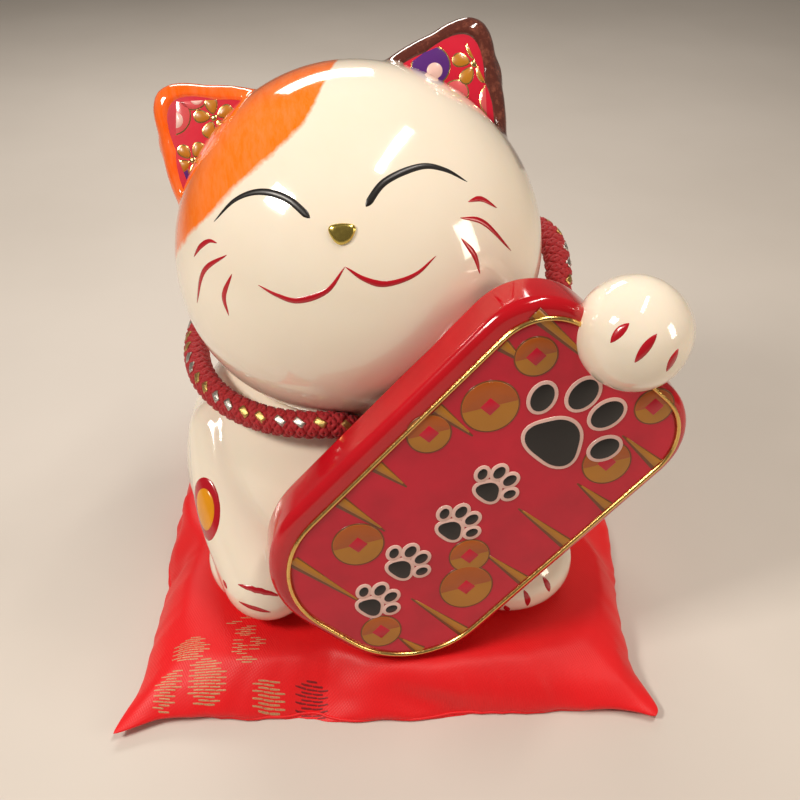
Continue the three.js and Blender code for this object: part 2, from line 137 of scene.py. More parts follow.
class Desk:
    def __init__(self, name):
        self.material = bpy.data.materials.new(name)
        self.material.use_nodes = True
        self.tree = self.material.node_tree
        self.tree.nodes.clear()

    def node(self, kind, settings, inputs, output=0):
        made = self.tree.nodes.new("ShaderNode" + kind)
        for name, value in settings.items():
            setattr(made, name, value)
        for name, value in inputs.items():
            if isinstance(value, Wire):
                self.tree.links.new(value.socket, made.inputs[name])
            elif isinstance(value, tuple) and len(value) == 3 and made.inputs[name].type == "RGBA":
                made.inputs[name].default_value = (*value, 1)
            else:
                made.inputs[name].default_value = value
        return Wire(self, made.outputs[output])

    def place(self):
        return self.node("TexCoord", {}, {}, "Object")

    def axes(self, vector):
        return [self.node("SeparateXYZ", {}, {0: vector}, i) for i in range(3)]

    def noise(self, vector, scale, detail=3.0, roughness=0.5):
        inputs = {"Vector": vector, "Scale": scale, "Detail": detail, "Roughness": roughness}
        return self.node("TexNoise", {}, inputs, 0)

    def blend(self, factor, low, high):
        return self.node("Mix", dict(data_type="RGBA"), {0: factor, 6: low, 7: high}, 2)

    def bump(self, height, strength, distance):
        return self.node("Bump", {}, {"Height": height, "Strength": strength, "Distance": distance})

    # the shader itself; what is the same all over is given as plain numbers
    def finish(self, **sockets):
        names = {key.replace("_", " "): value for key, value in sockets.items()}
        surface = self.node("BsdfPrincipled", {}, names)
        out = self.tree.nodes.new("ShaderNodeOutputMaterial")
        self.tree.links.new(surface.socket, out.inputs["Surface"])
        return self.material


# mesh helpers, all in millimetres until the mesh is made

def madeOf(name, points, faces, material, smooth=True):
    mesh = bpy.data.meshes.new(name)
    mesh.from_pydata([Vector(p) * mm for p in points], [], faces)
    mesh.validate()
    piece = bpy.data.objects.new(name, mesh)
    bpy.context.collection.objects.link(piece)
    tidyMesh(piece, smooth)
    piece.data.materials.append(material)
    return piece


def tidyMesh(piece, smooth=True):
    work = bmesh.new()
    work.from_mesh(piece.data)
    bmesh.ops.remove_doubles(work, verts=work.verts, dist=0.002 * mm)
    bmesh.ops.recalc_face_normals(work, faces=work.faces)
    for face in work.faces:
        face.smooth = smooth
    work.to_mesh(piece.data)
    work.free()


def settled(piece):
    # the mesh as its modifiers leave it
    bpy.context.view_layer.update()
    graph = bpy.context.evaluated_depsgraph_get()
    mesh = bpy.data.meshes.new_from_object(piece.evaluated_get(graph))
    piece.modifiers.clear()
    piece.data = mesh


def place(piece, body, slot, *nodes):
    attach(piece, body)
    if nodes:
        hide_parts(*nodes)
    return piece


def merge(parts):
    points, faces = [], []
    for morePoints, moreFaces in parts:
        start = len(points)
        points += morePoints
        faces += [[i + start for i in face] for face in moreFaces]
    return points, faces


# closed surface from rings of equal length, pinched to a point at both ends
def skin(rings, closedEnds=True):
    count = len(rings[0])
    points = [p for ring in rings for p in ring]
    faces = []
    for r in range(len(rings) - 1):
        for i in range(count):
            j = (i + 1) % count
            a, b = r * count, (r + 1) * count
            faces.append([a + i, a + j, b + j, b + i])
    if closedEnds:
        for ring, turn in ((0, -1), (len(rings) - 1, 1)):
            middle = sum((Vector(p) for p in rings[ring]), Vector()) / count
            points.append(middle)
            tip = len(points) - 1
            for i in range(count):
                a, b = ring * count + i, ring * count + (i + 1) % count
                faces.append([a, b, tip] if turn > 0 else [b, a, tip])
    return points, faces


# smooth line through given points
def spline(knots, steps, closed=False, centripetal=False):
    knots = [Vector(k) for k in knots]
    count = len(knots)
    line = []
    spans = count if closed else count - 1
    for i in range(spans):
        if closed:
            a, b, c, d = (knots[(i + k - 1) % count] for k in range(4))
        else:
            b, c = knots[i], knots[i + 1]
            a = knots[i - 1] if i else b * 2 - c
            d = knots[i + 2] if i + 2 < count else c * 2 - b
        power = 0.5 if centripetal else 0.0
        t1 = max((b - a).length, 1e-6) ** power
        t2 = t1 + max((c - b).length, 1e-6) ** power
        t3 = t2 + max((d - c).length, 1e-6) ** power
        for s in range(steps):
            t = t1 + (t2 - t1) * s / steps
            p = a * ((t1 - t) / t1) + b * (t / t1)
            q = b * ((t2 - t) / (t2 - t1)) + c * ((t - t1) / (t2 - t1))
            r = c * ((t3 - t) / (t3 - t2)) + d * ((t - t2) / (t3 - t2))
            u = p * ((t2 - t) / t2) + q * (t / t2)
            v = q * ((t3 - t) / (t3 - t1)) + r * ((t - t1) / (t3 - t1))
            line.append(u * ((t2 - t) / (t2 - t1)) + v * ((t - t1) / (t2 - t1)))
    if not closed:
        line.append(knots[-1])
    return line


# directions across a line that turn with it as little as they can
def carriedFrames(line, closed=False):
    frames = []
    across = None
    for i, point in enumerate(line):
        before = line[i - 1] if i or closed else point
        after = line[(i + 1) % len(line)] if closed or i + 1 < len(line) else point
        along = (after - before).normalized()
        if across is None:
            across = along.orthogonal().normalized()
        across = (across - along * across.dot(along)).normalized()
        frames.append((point, along, across, along.cross(across)))
    return frames


def tube(line, radius, sides=10, closed=False, flat=1.0):
    rings = []
    for i, (point, along, across, up) in enumerate(carriedFrames(line, closed)):
        size = radius[i] if isinstance(radius, list) else radius
        turn = [tau * k / sides for k in range(sides)]
        rings.append([point + (across * math.cos(a) + up * math.sin(a) * flat) * size for a in turn])
    if closed:
        return skin(rings + [rings[0]], False)
    return skin(rings)


# a rounded limb through its beads
def limb(beads, sides=28, steps=10):
    line = spline([middle for middle, _ in beads], steps)
    sizes = spline([Vector((radius, 0, 0)) for _, radius in beads], steps)
    sizes = [s.x for s in sizes]
    capSteps = 7
    start, end = [], []
    for k in range(1, capSteps):
        turn = math.pi / 2 * k / capSteps
        sine, cosine = math.sin(turn), math.cos(turn)
        start.insert(0, (line[0] - (line[1] - line[0]).normalized() * sizes[0] * sine, sizes[0] * cosine))
        end.append((line[-1] + (line[-1] - line[-2]).normalized() * sizes[-1] * sine, sizes[-1] * cosine))
    whole = start + list(zip(line, sizes)) + end
    return tube([p for p, _ in whole], [r for _, r in whole], sides)


# closed shells fused to one skin, then softened as a cast form is
def fused(name, parts, voxel, rounds, material):
    points, faces = merge(parts)
    piece = madeOf(name, points, faces, material)
    remesh = piece.modifiers.new("fuse", "REMESH")
    remesh.mode = "VOXEL"
    remesh.voxel_size = voxel * mm
    remesh.use_smooth_shade = True
    soften = piece.modifiers.new("soften", "SMOOTH")
    soften.factor = 0.5
    soften.iterations = rounds
    settled(piece)
    piece.data.materials.clear()
    piece.data.materials.append(material)
    return piece


def ribbon(rows):
    # faces between rows of equal length, open along both edges
    wide = len(rows[0])
    points = [p for row in rows for p in row]
    faces = []
    for r in range(len(rows) - 1):
        for k in range(wide - 1):
            a, b = r * wide + k, (r + 1) * wide + k
            faces.append([a, b, b + 1, a + 1])
    return points, faces


def closedOn(middle, rings):
    # rings that end in one middle point
    count = len(rings[0])
    points, faces = skin(rings, False)
    points.append(middle)
    last = (len(rings) - 1) * count
    faces += [[last + i, last + (i + 1) % count, len(points) - 1] for i in range(count)]
    return points, faces


def skinOf(piece):
    work = bmesh.new()
    work.from_mesh(piece.data)
    tree = BVHTree.FromBMesh(work)
    work.free()
    return tree


# frames of the cat, its head and its plaque

def turned(axis, degrees):
    return Matrix.Rotation(math.radians(degrees), 4, axis)


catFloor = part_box("torso_shell")[0].z / mm
bodyForm = dict(halfWidth=63, halfDepth=47, height=71, back=-2, wall=4.5, ring=7, recess=9, hole=10)
headForm = dict(centre=(-8.6, -3, 98.2), half=(49, 43.5, 47), cheek=0.05, pitch=-29, roll=-12, yaw=-2)
plaqueForm = dict(centre=(21.7, -56.8, 50.9), yaw=8.7, lean=4.5, slope=45.7, thick=14, round=2.6,
                  length=106.6, width=60.2, foot=24, head=15, margin=2.3, side=2.6, rim=1.3, gap=0.3)

headFrame = Matrix.Translation(Vector(headForm["centre"]) + Vector((0, 0, catFloor)))
headFrame = headFrame @ turned("X", headForm["pitch"]) @ turned("Y", headForm["roll"])
headFrame = headFrame @ turned("Z", headForm["yaw"])
plaqueFrame = Matrix.Translation(Vector(plaqueForm["centre"]) + Vector((0, 0, catFloor)))
plaqueFrame = plaqueFrame @ turned("Z", plaqueForm["yaw"]) @ turned("X", 90 - plaqueForm["lean"])
plaqueFrame = plaqueFrame @ turned("Z", plaqueForm["slope"])


def lifted(points):
    return [Vector(p) + Vector((0, 0, catFloor)) for p in points]


def inFrame(frameMatrix, part):
    points, faces = part
    return [frameMatrix @ Vector(p) for p in points], faces


# finishes

def glossPaint(name, colour, rough=0.12, vary=0.06, coat=0.5):
    desk = Desk(name)
    where = desk.place()
    cloudy = desk.noise(where, 90, 4)
    deep = tuple(c * (1 - vary * 2.5) for c in colour)
    tint = desk.blend(cloudy.ramp(0.3, 0.7), deep, colour)
    ripple = desk.noise(where, 240, 2) * 0.6 + desk.noise(where, 1500, 2) * 0.1
    return desk.finish(Base_Color=tint, Roughness=cloudy * 0.08 + rough, Coat_Weight=coat,
                       Coat_Roughness=0.04, Normal=desk.bump(ripple, 0.12, 0.0006))


def whiteGlaze(name, headMarks=False):
    look = dict(white=(0.93, 0.84, 0.70), pool=(0.86, 0.74, 0.57), orange=(1.0, 0.20, 0.0),
                deepOrange=(0.92, 0.11, 0.0), brown=(0.10, 0.022, 0.014), brownSpot=(0.26, 0.075, 0.045))
    desk = Desk(name)
    where = desk.place()
    cloudy = desk.noise(where, 45, 5)
    tint = desk.blend(cloudy.ramp(0.45, 0.85) * 0.35, look["white"], look["pool"])
    if headMarks:
        local = desk.node("Mapping", dict(vector_type="TEXTURE"), {
            "Vector": where, "Location": tuple(headFrame.translation * mm),
            "Rotation": tuple(headFrame.to_euler("XYZ"))})
        x, y, z = (axis / mm for axis in desk.axes(local))
        brushy = desk.noise(local, 110, 6, 0.65) * 5 - 2.5
        crown = (x + 9) / 13
        crown = crown.maths("MAXIMUM", crown, 0)
        edge = 28.3 + x * 0.5 + crown * crown * 10.5
        fromEdge = z - edge + brushy
        behind = (34 - y + brushy).ramp(0, 5)
        patch = fromEdge.ramp(-0.5, 1.1) * behind
        streak = desk.noise(desk.node("Mapping", {}, {"Vector": local, "Scale": (3.2, 1, 0.7)}), 160, 5, 0.7)
        reach = (x * x + z * z).root()
        toEar = (reach - 38 + brushy).ramp(0, 14)
        orange = desk.blend(toEar * 0.75 + streak.ramp(0.5, 0.8) * 0.25, look["orange"], look["deepOrange"])
        tint = desk.blend(patch * (0.93 + streak.ramp(0.3, 0.6) * 0.07), tint, orange)
        darkEar = (reach - 45.6 + brushy * 0.35).ramp(0, 1.6) * (x - 6).ramp(0, 1) * (z - 8).ramp(0, 1)
        mottle = desk.noise(local, 420, 5, 0.7)
        brown = desk.blend(mottle.ramp(0.5, 0.68), look["brown"], look["brownSpot"])
        tint = desk.blend(darkEar, tint, brown)
    ripple = desk.noise(where, 70, 2) + desk.noise(where, 900, 2) * 0.03
    return desk.finish(Base_Color=tint, Roughness=cloudy * 0.05 + 0.07, Coat_Weight=0.7, Coat_Roughness=0.03,
                       Subsurface_Weight=0.12, Subsurface_Radius=(0.004, 0.0025, 0.0015),
                       Normal=desk.bump(ripple, 0.10, 0.0012))


def giltLeaf(name, colour=(0.78, 0.50, 0.16), speckle=0.35):
    desk = Desk(name)
    where = desk.place()
    worn = desk.noise(where, 700, 5, 0.7).ramp(0.56, 0.66)
    tint = desk.blend(worn * speckle, colour, (0.10, 0.055, 0.015))
    lumpy = desk.noise(where, 1100, 3)
    return desk.finish(Base_Color=tint, Metallic=1.0, Roughness=lumpy * 0.2 + 0.12,
                       Normal=desk.bump(lumpy, 0.25, 0.0002))


def satinCloth(name):
    look = dict(red=(0.84, 0.006, 0.010), shade=(0.68, 0.004, 0.008), twill=8600)
    desk = Desk(name)
    where = desk.place()
    x, y, _ = desk.axes(where)
    ribs = ((x + y * 0.6) * look["twill"]).sine() * 0.5 + 0.5
    cross = ((x - y * 1.7) * look["twill"] * 0.6).sine() * 0.5 + 0.5
    cloudy = desk.noise(where, 60, 4)
    tint = desk.blend(cloudy.ramp(0.3, 0.7) * 0.5 + ribs * 0.2, look["red"], look["shade"])
    weave = ribs * 0.6 + cross * 0.4 + desk.noise(where, 2600, 3) * 0.5
    return desk.finish(Base_Color=tint, Roughness=0.40 + cloudy * 0.14, Sheen_Weight=0.22,
                       Sheen_Roughness=0.35, Sheen_Tint=(1.0, 0.35, 0.3),
                       Normal=desk.bump(weave, 0.35, 0.00012))


def threadMaterial(name, colour, metal=0.0, rough=0.5, sheen=0.0):
    desk = Desk(name)
    where = desk.place()
    fibre = desk.noise(where, 3200, 4, 0.7)
    deep = tuple(c * 0.55 for c in colour)
    tint = desk.blend(fibre.ramp(0.35, 0.65), deep, colour)
    return desk.finish(Base_Color=tint, Metallic=metal, Roughness=fibre * 0.25 + rough - 0.12,
                       Sheen_Weight=sheen, Normal=desk.bump(fibre, 0.5, 0.0002))


paint = dict(
    body=whiteGlaze("body_white_glaze"),
    head=whiteGlaze("head_painted_glaze", True),
    slab=glossPaint("plaque_red_glaze", (0.56, 0.002, 0.010), 0.10),
    black=glossPaint("black_brush", (0.010, 0.008, 0.008), 0.3, 0.06, 0.1),
    red=glossPaint("red_brush", (0.50, 0.002, 0.014), 0.18),
    ochre=glossPaint("ochre_print", (0.50, 0.20, 0.012), 0.3, 0.06, 0.15),
    orangePrint=glossPaint("orange_print", (0.46, 0.10, 0.008), 0.3, 0.06, 0.15),
    brownPrint=glossPaint("brown_print", (0.20, 0.055, 0.010), 0.3, 0.06, 0.15),
    crimson=glossPaint("crimson_print", (0.62, 0.004, 0.03), 0.3, 0.08, 0.12),
    pink=glossPaint("pink_print", (0.86, 0.56, 0.50), 0.3, 0.06, 0.15),
    purple=glossPaint("purple_print", (0.10, 0.02, 0.20), 0.2),
    rose=glossPaint("rose_print", (0.70, 0.10, 0.11), 0.2),
    gilt=giltLeaf("gilt_rim"),
    yolk=glossPaint("yolk_paint", (0.86, 0.34, 0.004), 0.16),
    giltDot=giltLeaf("gilt_print", (0.80, 0.56, 0.22), 0.2),
    satin=satinCloth("cushion_satin"),
    brocade=threadMaterial("brocade_gold", (0.72, 0.36, 0.18), 0.2, 0.42),
    brocadeRed=threadMaterial("brocade_red", (0.30, 0.004, 0.008), 0.0, 0.5),
    braid=threadMaterial("braid_red", (0.52, 0.006, 0.014), 0.0, 0.66, 0.15),
    goldThread=threadMaterial("thread_gold", (0.90, 0.62, 0.22), 1.0, 0.32),
    silverThread=threadMaterial("thread_silver", (0.85, 0.80, 0.74), 1.0, 0.30),
    plug=glossPaint("stopper_rubber", (0.62, 0.58, 0.50), 0.5, 0.05, 0.0),
)
print("finishes made")


# body casting with both arms, both feet and the tail

profile = [(0.84, 0), (0.93, 0.08), (0.99, 0.22), (1, 0.38), (0.96, 0.56), (0.87, 0.72), (0.73, 0.86),
           (0.5, 0.96), (0.24, 1)]
limbs = dict(
    loweredArm=[((-48, -16, 44), 10.5), ((-44, -29.5, 29), 12), ((-34.8, -43.2, 13.2), 13.4)],
    raisedArm=[((42, -6, 52), 15), ((55, -22, 72), 12), ((61, -40, 92), 12.5), ((57.8, -47.5, 97.2), 14.2)],
    tail=[((6, 42, 12), 8), ((16, 46, 15), 8.5)],
)
foot = dict(side=34, front=-31, middle=9.5, half=(20, 20, 13))


def ringAt(halfWidth, halfDepth, height, count=128):
    turns = [tau * i / count for i in range(count)]
    return [(halfWidth * math.cos(a), halfDepth * math.sin(a) + bodyForm["back"], height) for a in turns]


def bodyShell():
    wide, deep, high = bodyForm["halfWidth"], bodyForm["halfDepth"], bodyForm["height"]
    wall = bodyForm["wall"]
    outer = spline([(w, h, 0) for w, h in profile] + [(0.02, 1.005, 0)], 8)
    rings = [ringAt(wide * p.x, deep * p.x, high * p.y) for p in reversed(outer)]
    ringIn = wide * profile[0][0] - bodyForm["ring"]
    ratio = deep / wide
    rings.append(ringAt(ringIn, ringIn * ratio, 0))
    rings.append(ringAt(ringIn, ringIn * ratio, bodyForm["recess"]))
    hole, floor = bodyForm["hole"], bodyForm["recess"] + wall
    rings.append(ringAt(hole, hole, bodyForm["recess"]))
    rings.append(ringAt(hole, hole, floor))
    inside = [p for p in outer if p.y * high > floor + 2]
    rings.append(ringAt(wide * 0.93 - wall, deep * 0.93 - wall, floor))
    for p in inside:
        shrink = max(0.3, p.x * wide - wall)
        rings.append(ringAt(shrink, shrink * (deep - wall) / (wide - wall), min(p.y * high, high - wall)))
    points, faces = skin(rings)
    return lifted(points), faces


def ball(middle, half, count=48):
    rings = []
    for i in range(1, count // 2):
        turn = math.pi * i / (count // 2) - math.pi / 2
        flat = math.cos(turn)
        rings.append([(middle[0] + half[0] * flat * math.cos(tau * k / count),
                       middle[1] + half[1] * flat * math.sin(tau * k / count),
                       middle[2] + half[2] * math.sin(turn)) for k in range(count)])
    return skin(rings)


parts = [bodyShell()]
for beads in limbs.values():
    points, faces = limb(beads)
    parts.append((lifted(points), faces))
for side in (-1, 1):
    points, faces = ball((side * foot["side"], foot["front"], foot["middle"]), foot["half"])
    parts.append((lifted(points), faces))
casting = fused("body_casting", parts, 0.9, 22, paint["body"])
for vertex in casting.data.vertices:
    vertex.co.z = max(vertex.co.z, catFloor * mm)
chest = dict(holes=[((-10.5, -41, 63.5), (-5, -24, 44)), ((13.5, -41, 64), (5, -24, 44))], radius=4.0)
for ends in chest["holes"]:
    bore = limb([(p, chest["radius"]) for p in lifted(ends)], 32, 4)
    cutter = madeOf("chest_bore", *bore, paint["body"])
    cut = casting.modifiers.new("bore", "BOOLEAN")
    cut.object = cutter
    cut.operation = "DIFFERENCE"
    settled(casting)
    bpy.data.objects.remove(cutter)
for polygon in casting.data.polygons:
    polygon.use_smooth = True
place(casting, "cat", "white_glaze", "torso_shell", "lowered_arm", "raised_arm",
      "left_foot", "right_foot", "tail")
bodySkin = skinOf(casting)
print("body casting", len(casting.data.polygons))


# head casting with both ears

ears = dict(root=40, tip=74, tipAngle=41, inner=13, outer=84, tipRound=20, thick=9, front=-6.5,
            rim=3.1, hollow=1.2, round=3.6)


def polar(radius, degrees):
    return Vector((radius * math.sin(math.radians(degrees)), radius * math.cos(math.radians(degrees)), 0))


def earOutline(side, inset=0.0, steps=12):
    inner, outer = polar(ears["root"], ears["inner"]), polar(ears["root"], ears["outer"])
    tip = polar(ears["tip"] - inset * 1.5, ears["tipAngle"])
    innerRoot = inner.lerp(outer, inset * 1.25 / (outer - inner).length)
    outerRoot = outer.lerp(inner, inset * 1.25 / (outer - inner).length)
    tipRound = ears["tipRound"]
    tipInner = tip.lerp(innerRoot, tipRound / (tip - innerRoot).length)
    tipOuter = tip.lerp(outerRoot, tipRound / (tip - outerRoot).length)
    bulge = innerRoot.lerp(tipInner, 0.55) + Vector((-2.6, 2.0, 0))
    flank = tipOuter.lerp(outerRoot, 0.5) + Vector((5.2, 3.2, 0))
    line = []
    for a, b, c in ((innerRoot, bulge, tipInner), (tipInner, tip, tipOuter), (tipOuter, flank, outerRoot)):
        for i in range(steps):
            t = i / steps
            line.append(a * (1 - t) ** 2 + b * 2 * t * (1 - t) + c * t * t)
    line.append(outerRoot)
    return [Vector((side * p.x, p.y, 0)) for p in line]


def grown(outline, amount):
    # moves a closed outline outward along its own normals
    count = len(outline)
    turn = 1 if sum(outline[i - 1].cross(outline[i]).z for i in range(count)) > 0 else -1
    result = []
    for i, p in enumerate(outline):
        along = (outline[(i + 1) % count] - outline[i - 1]).normalized()
        result.append(p + Vector((along.y, -along.x, 0)) * turn * amount)
    return result


def earSlab(side):
    outline = earOutline(side)
    rings = []
    for back in (False, True):
        for k in range(5):
            turn = math.pi / 2 * ((4 - k) / 4 if back else k / 4)
            depth = ears["round"] * (1 - math.cos(turn))
            across = ears["front"] + (ears["thick"] - depth if back else depth)
            edge = grown(outline, -ears["round"] * (1 - math.sin(turn)))
            rings.append([(p.x, across, p.y) for p in edge])
    return skin(rings)


def headBall():
    halfX, halfY, halfZ = headForm["half"]
    points, faces = ball((0, 0, 0), (1, 1, 1), 96)
    shaped = []
    for p in points:
        p = Vector(p)
        shaped.append((p.x * halfX * (1 - headForm["cheek"] * p.z), p.y * halfY, p.z * halfZ))
    return shaped, faces


# a rounded swelling behind each ear, so that its back is full and runs into the skull
def earBack(side):
    middle = polar(ears["root"] + 8, ears["tipAngle"] + 5)
    points, faces = ball((0, 0, 0), (11.5, 6.4, 13), 40)
    lean = turned("Y", side * ears["tipAngle"])
    return [lean @ Vector(p) + Vector((side * middle.x, -0.6, middle.y)) for p in points], faces


headParts = [inFrame(headFrame, headBall())]
for side in (-1, 1):
    headParts += [inFrame(headFrame, earSlab(side)), inFrame(headFrame, earBack(side))]
headCasting = fused("head_casting", headParts, 0.75, 20, paint["head"])


def depthInside(outline, x, z):
    inside = False
    near = 1e9
    for i, b in enumerate(outline):
        a = outline[i - 1]
        if (a.y > z) != (b.y > z) and x < (b.x - a.x) * (z - a.y) / (b.y - a.y) + a.x:
            inside = not inside
        along = b - a
        t = max(0, min(1, ((x - a.x) * along.x + (z - a.y) * along.y) / along.length_squared))
        near = min(near, math.hypot(a.x + along.x * t - x, a.y + along.y * t - z))
    return near if inside else -near


# the patterned hollow in front of each ear
toHead = headFrame.inverted()
hollows = {side: earOutline(side, ears["rim"]) for side in (-1, 1)}
for vertex in headCasting.data.vertices:
    local = toHead @ (vertex.co / mm)
    if local.y > -3 or math.hypot(local.x, local.z) < 46.5 or local.z < 5:
        continue
    sunk = depthInside(hollows[1 if local.x > 0 else -1], local.x, local.z)
    if sunk > 0:
        floor = ears["front"] + ears["hollow"] * min(1, sunk / 1.6) ** 0.7
        local.y = max(local.y, floor)
        vertex.co = (headFrame @ local) * mm
place(headCasting, "cat", "white_glaze", "head_shell", "right_ear", "left_ear")
headSkin = skinOf(headCasting)
print("head casting", len(headCasting.data.polygons))


# brush strokes, laid on the glaze as thin domed ribbons

def onHead(x, z, lift=0.0):
    start = (headFrame @ Vector((x, -80, z))) * mm
    aimed = (headFrame.to_3x3() @ Vector((0, 1, 0))).normalized()
    spot, normal, _, _ = headSkin.ray_cast(start, aimed)
    return spot / mm + normal * lift


def onBody(p, lift=0.0):
    spot, normal, _, _ = bodySkin.find_nearest(Vector(p) * mm)
    return spot / mm + normal * lift


def stroke(knots, width, cast, ends=(0.35, 0.35), steps=10, high=0.07):
    # cast puts a flat (x, z) point and a lift on the surface; ends are the shares over which it thins
    line = spline([(x, z, 0) for x, z in knots], steps)
    rows = []
    for i, (point, along, _, _) in enumerate(carriedFrames(line)):
        share = i / (len(line) - 1)
        thin = min(1, share / ends[0]) ** 0.6 * min(1, (1 - share) / ends[1]) ** 0.6
        half = width / 2 * max(0.05, thin)
        across = Vector((-along.y, along.x, 0))
        row = []
        for side, up in ((-1.0, -0.12), (-0.85, high * 0.6), (0.0, high), (0.85, high * 0.6), (1.0, -0.12)):
            at = point + across * half * side
            row.append(cast(at.x, at.y, up))
        rows.append(row)
    return ribbon(rows)


# filled spot with a domed middle; outline points are (x, z)
def spot(outline, cast, high=0.12, edge=-0.12):
    middle = sum((Vector((x, z, 0)) for x, z in outline), Vector()) / len(outline)
    rings = []
    for share, lift in ((1.0, edge), (0.97, high * 0.5), (0.85, high * 0.85), (0.6, high), (0.3, high)):
        rings.append([cast(middle.x + (x - middle.x) * share, middle.y + (z - middle.y) * share, lift)
                      for x, z in outline])
    return closedOn(cast(middle.x, middle.y, high), rings)


face = dict(
    eyes=[[(-30.3, 10.4), (-23.6, 14), (-17, 14.3), (-10.9, 11.2), (-6.5, 5.7)],
          [(6.5, 5.5), (11.9, 10.2), (20.4, 12.1), (25.9, 10.4), (30.5, 6.8)]],
    eyeWidth=1.9,
    mouth=[[(-22.3, -6.5), (-18.4, -9.7), (-13.7, -12), (-6.4, -11.2), (-1, -6.7)],
           [(-1, -6.7), (2.6, -10.3), (7.3, -12.5), (14.2, -11.8), (19.8, -8.6)]],
    mouthWidth=1.7,
    whiskers=[[(-38.2, 3.7), (-35.6, 5.6), (-32.7, 6.3), (-30.5, 5.3)],
              [(-28.5, 2), (-36, -0.3), (-40.9, -7.4)],
              [(-28.3, -2.6), (-32, -7.2), (-32.2, -12.1)], [(29.7, 2.2), (33, 2.3), (36.4, -0.4)],
              [(27.1, -1.1), (32.5, -3.3), (38, -11.1)], [(26.4, -5.7), (28.7, -10.2), (29.2, -14.8)]],
    whiskerWidth=1.45,
    nose=[(-3.5, 3.1), (0.3, 3.2), (4.0, 1.9), (1.6, -1.6), (-1.9, -1.9)],
)
lidEnds = [(0.6, 0.05), (0.05, 0.6)]  # thin at the outer corner, blunt at the inner one
lids = merge([stroke(line, face["eyeWidth"], onHead, ends, 16)
              for line, ends in zip(face["eyes"], lidEnds)])
place(madeOf("eye_strokes", *lids, paint["black"]), "cat", "brown_glaze")
lips = [stroke(line, face["mouthWidth"], onHead, ends, 14)
        for line, ends in zip(face["mouth"], [(0.6, 0.4), (0.4, 0.6)])]
cheeks = [stroke(line, face["whiskerWidth"], onHead, (0.35, 0.5)) for line in face["whiskers"]]
place(madeOf("mouth_and_whiskers", *merge(lips + cheeks), paint["red"]), "cat", "red_glaze")


def roundedLoop(corners, softness=0.3, steps=6):
    # corners cut back and joined by short curves
    knots = []
    count = len(corners)
    for i, corner in enumerate(corners):
        corner = Vector((*corner, 0))
        before, after = Vector((*corners[i - 1], 0)), Vector((*corners[(i + 1) % count], 0))
        a, b = corner.lerp(before, softness), corner.lerp(after, softness)
        for k in range(steps + 1):
            t = k / steps
            p = a * (1 - t) ** 2 + corner * 2 * t * (1 - t) + b * t * t
            knots.append((p.x, p.y))
    return knots


nose = spot(roundedLoop(face["nose"], 0.46), onHead, 0.9)
place(madeOf("nose_gilt", *nose, giltLeaf("nose_gold", (0.72, 0.56, 0.14), 0.15)), "cat", "gilt", "nose")

# claws on the paws and the round spot on the lowered arm
claws = dict(
    lowered=[[(-39, -48.7, 31), (-35.5, -49.8, 30.6), (-31.8, -50.5, 29.6)],
             [(-41, -53, 27.8), (-37, -55, 27), (-33, -56, 25.5)],
             [(-46.7, -48.9, 30.8), (-46, -49.9, 30), (-45.4, -50.9, 29.3)]],
    width=1.5,
)


def bodyStroke(knots, width, high=0.1):
    line = [onBody(p) for p in spline(knots, 7)]
    rows = []
    for i, point in enumerate(line):
        _, normal, _, _ = bodySkin.find_nearest(point * mm)
        along = (line[min(i + 1, len(line) - 1)] - line[max(i - 1, 0)]).normalized()
        across = normal.cross(along).normalized()
        half = width / 2 * max(0.08, math.sin(math.pi * i / (len(line) - 1)) ** 0.7)
        shape = ((-1.0, -0.1), (-0.85, high * 0.5), (0.0, high), (0.85, high * 0.5), (1.0, -0.1))
        rows.append([onBody(point + across * half * side, up) for side, up in shape])
    return ribbon(rows)


# the beckoning paw's claws run down its front, the foot's claws over its toes
pawMiddle = Vector(limbs["raisedArm"][-1][0]) + Vector((0, 0, catFloor))
footMiddle = Vector((foot["side"], foot["front"], foot["middle"] + catFloor))
claws["raised"] = [[pawMiddle + Vector(p) for p in line] for line in (
    [(-4.2, -10.2, 9), (-6.2, -10.7, 7), (-7.9, -11, 4.3)],
    [(1.9, -12, 7.3), (-0.4, -13.4, 4.5), (-2.5, -14, 0.9)],
    [(7.5, -11.6, 3.1), (6.4, -12.7, 0.6), (5.4, -12.9, -2.3)])]
claws["toes"] = [[footMiddle + Vector(p) for p in line] for line in (
    [(3.8, -18.8, 3.8), (5.1, -19.3, 0.3), (5.4, -19, -3)],
    [(9.4, -15.5, 5.6), (10.9, -16.1, 3), (11.7, -16.2, 0.3)],
    [(-1.3, -19.8, -1.6), (-0.6, -19, -3.6), (-0.1, -18.1, -5.6)])]
marks = []
for group in ("lowered", "raised", "toes"):
    heavy = 1.6 if group == "raised" else 1.3
    marks += [bodyStroke(knots, claws["width"] * heavy) for knots in claws[group]]
place(madeOf("claw_strokes", *merge(marks), paint["red"]), "cat", "red_glaze")

armSpot = dict(middle=(-50.6, -36.4, 46.2), high=9.4, wide=6.6, inner=0.66, lean=(0, 0.44, 0.9))


def spotOutline(share):
    return [(armSpot["wide"] * share * math.cos(a), armSpot["high"] * share * math.sin(a))
            for a in [tau * k / 40 for k in range(40)]]


spotAt = onBody(armSpot["middle"])
spotOut = (spotAt - onBody(armSpot["middle"], -1.0)).normalized()
spotUp = (Vector(armSpot["lean"]) - spotOut * Vector(armSpot["lean"]).dot(spotOut)).normalized()
spotSide = spotUp.cross(spotOut)


def onArm(x, z, lift=0.0):
    return onBody(spotAt + spotSide * x + spotUp * z, lift)


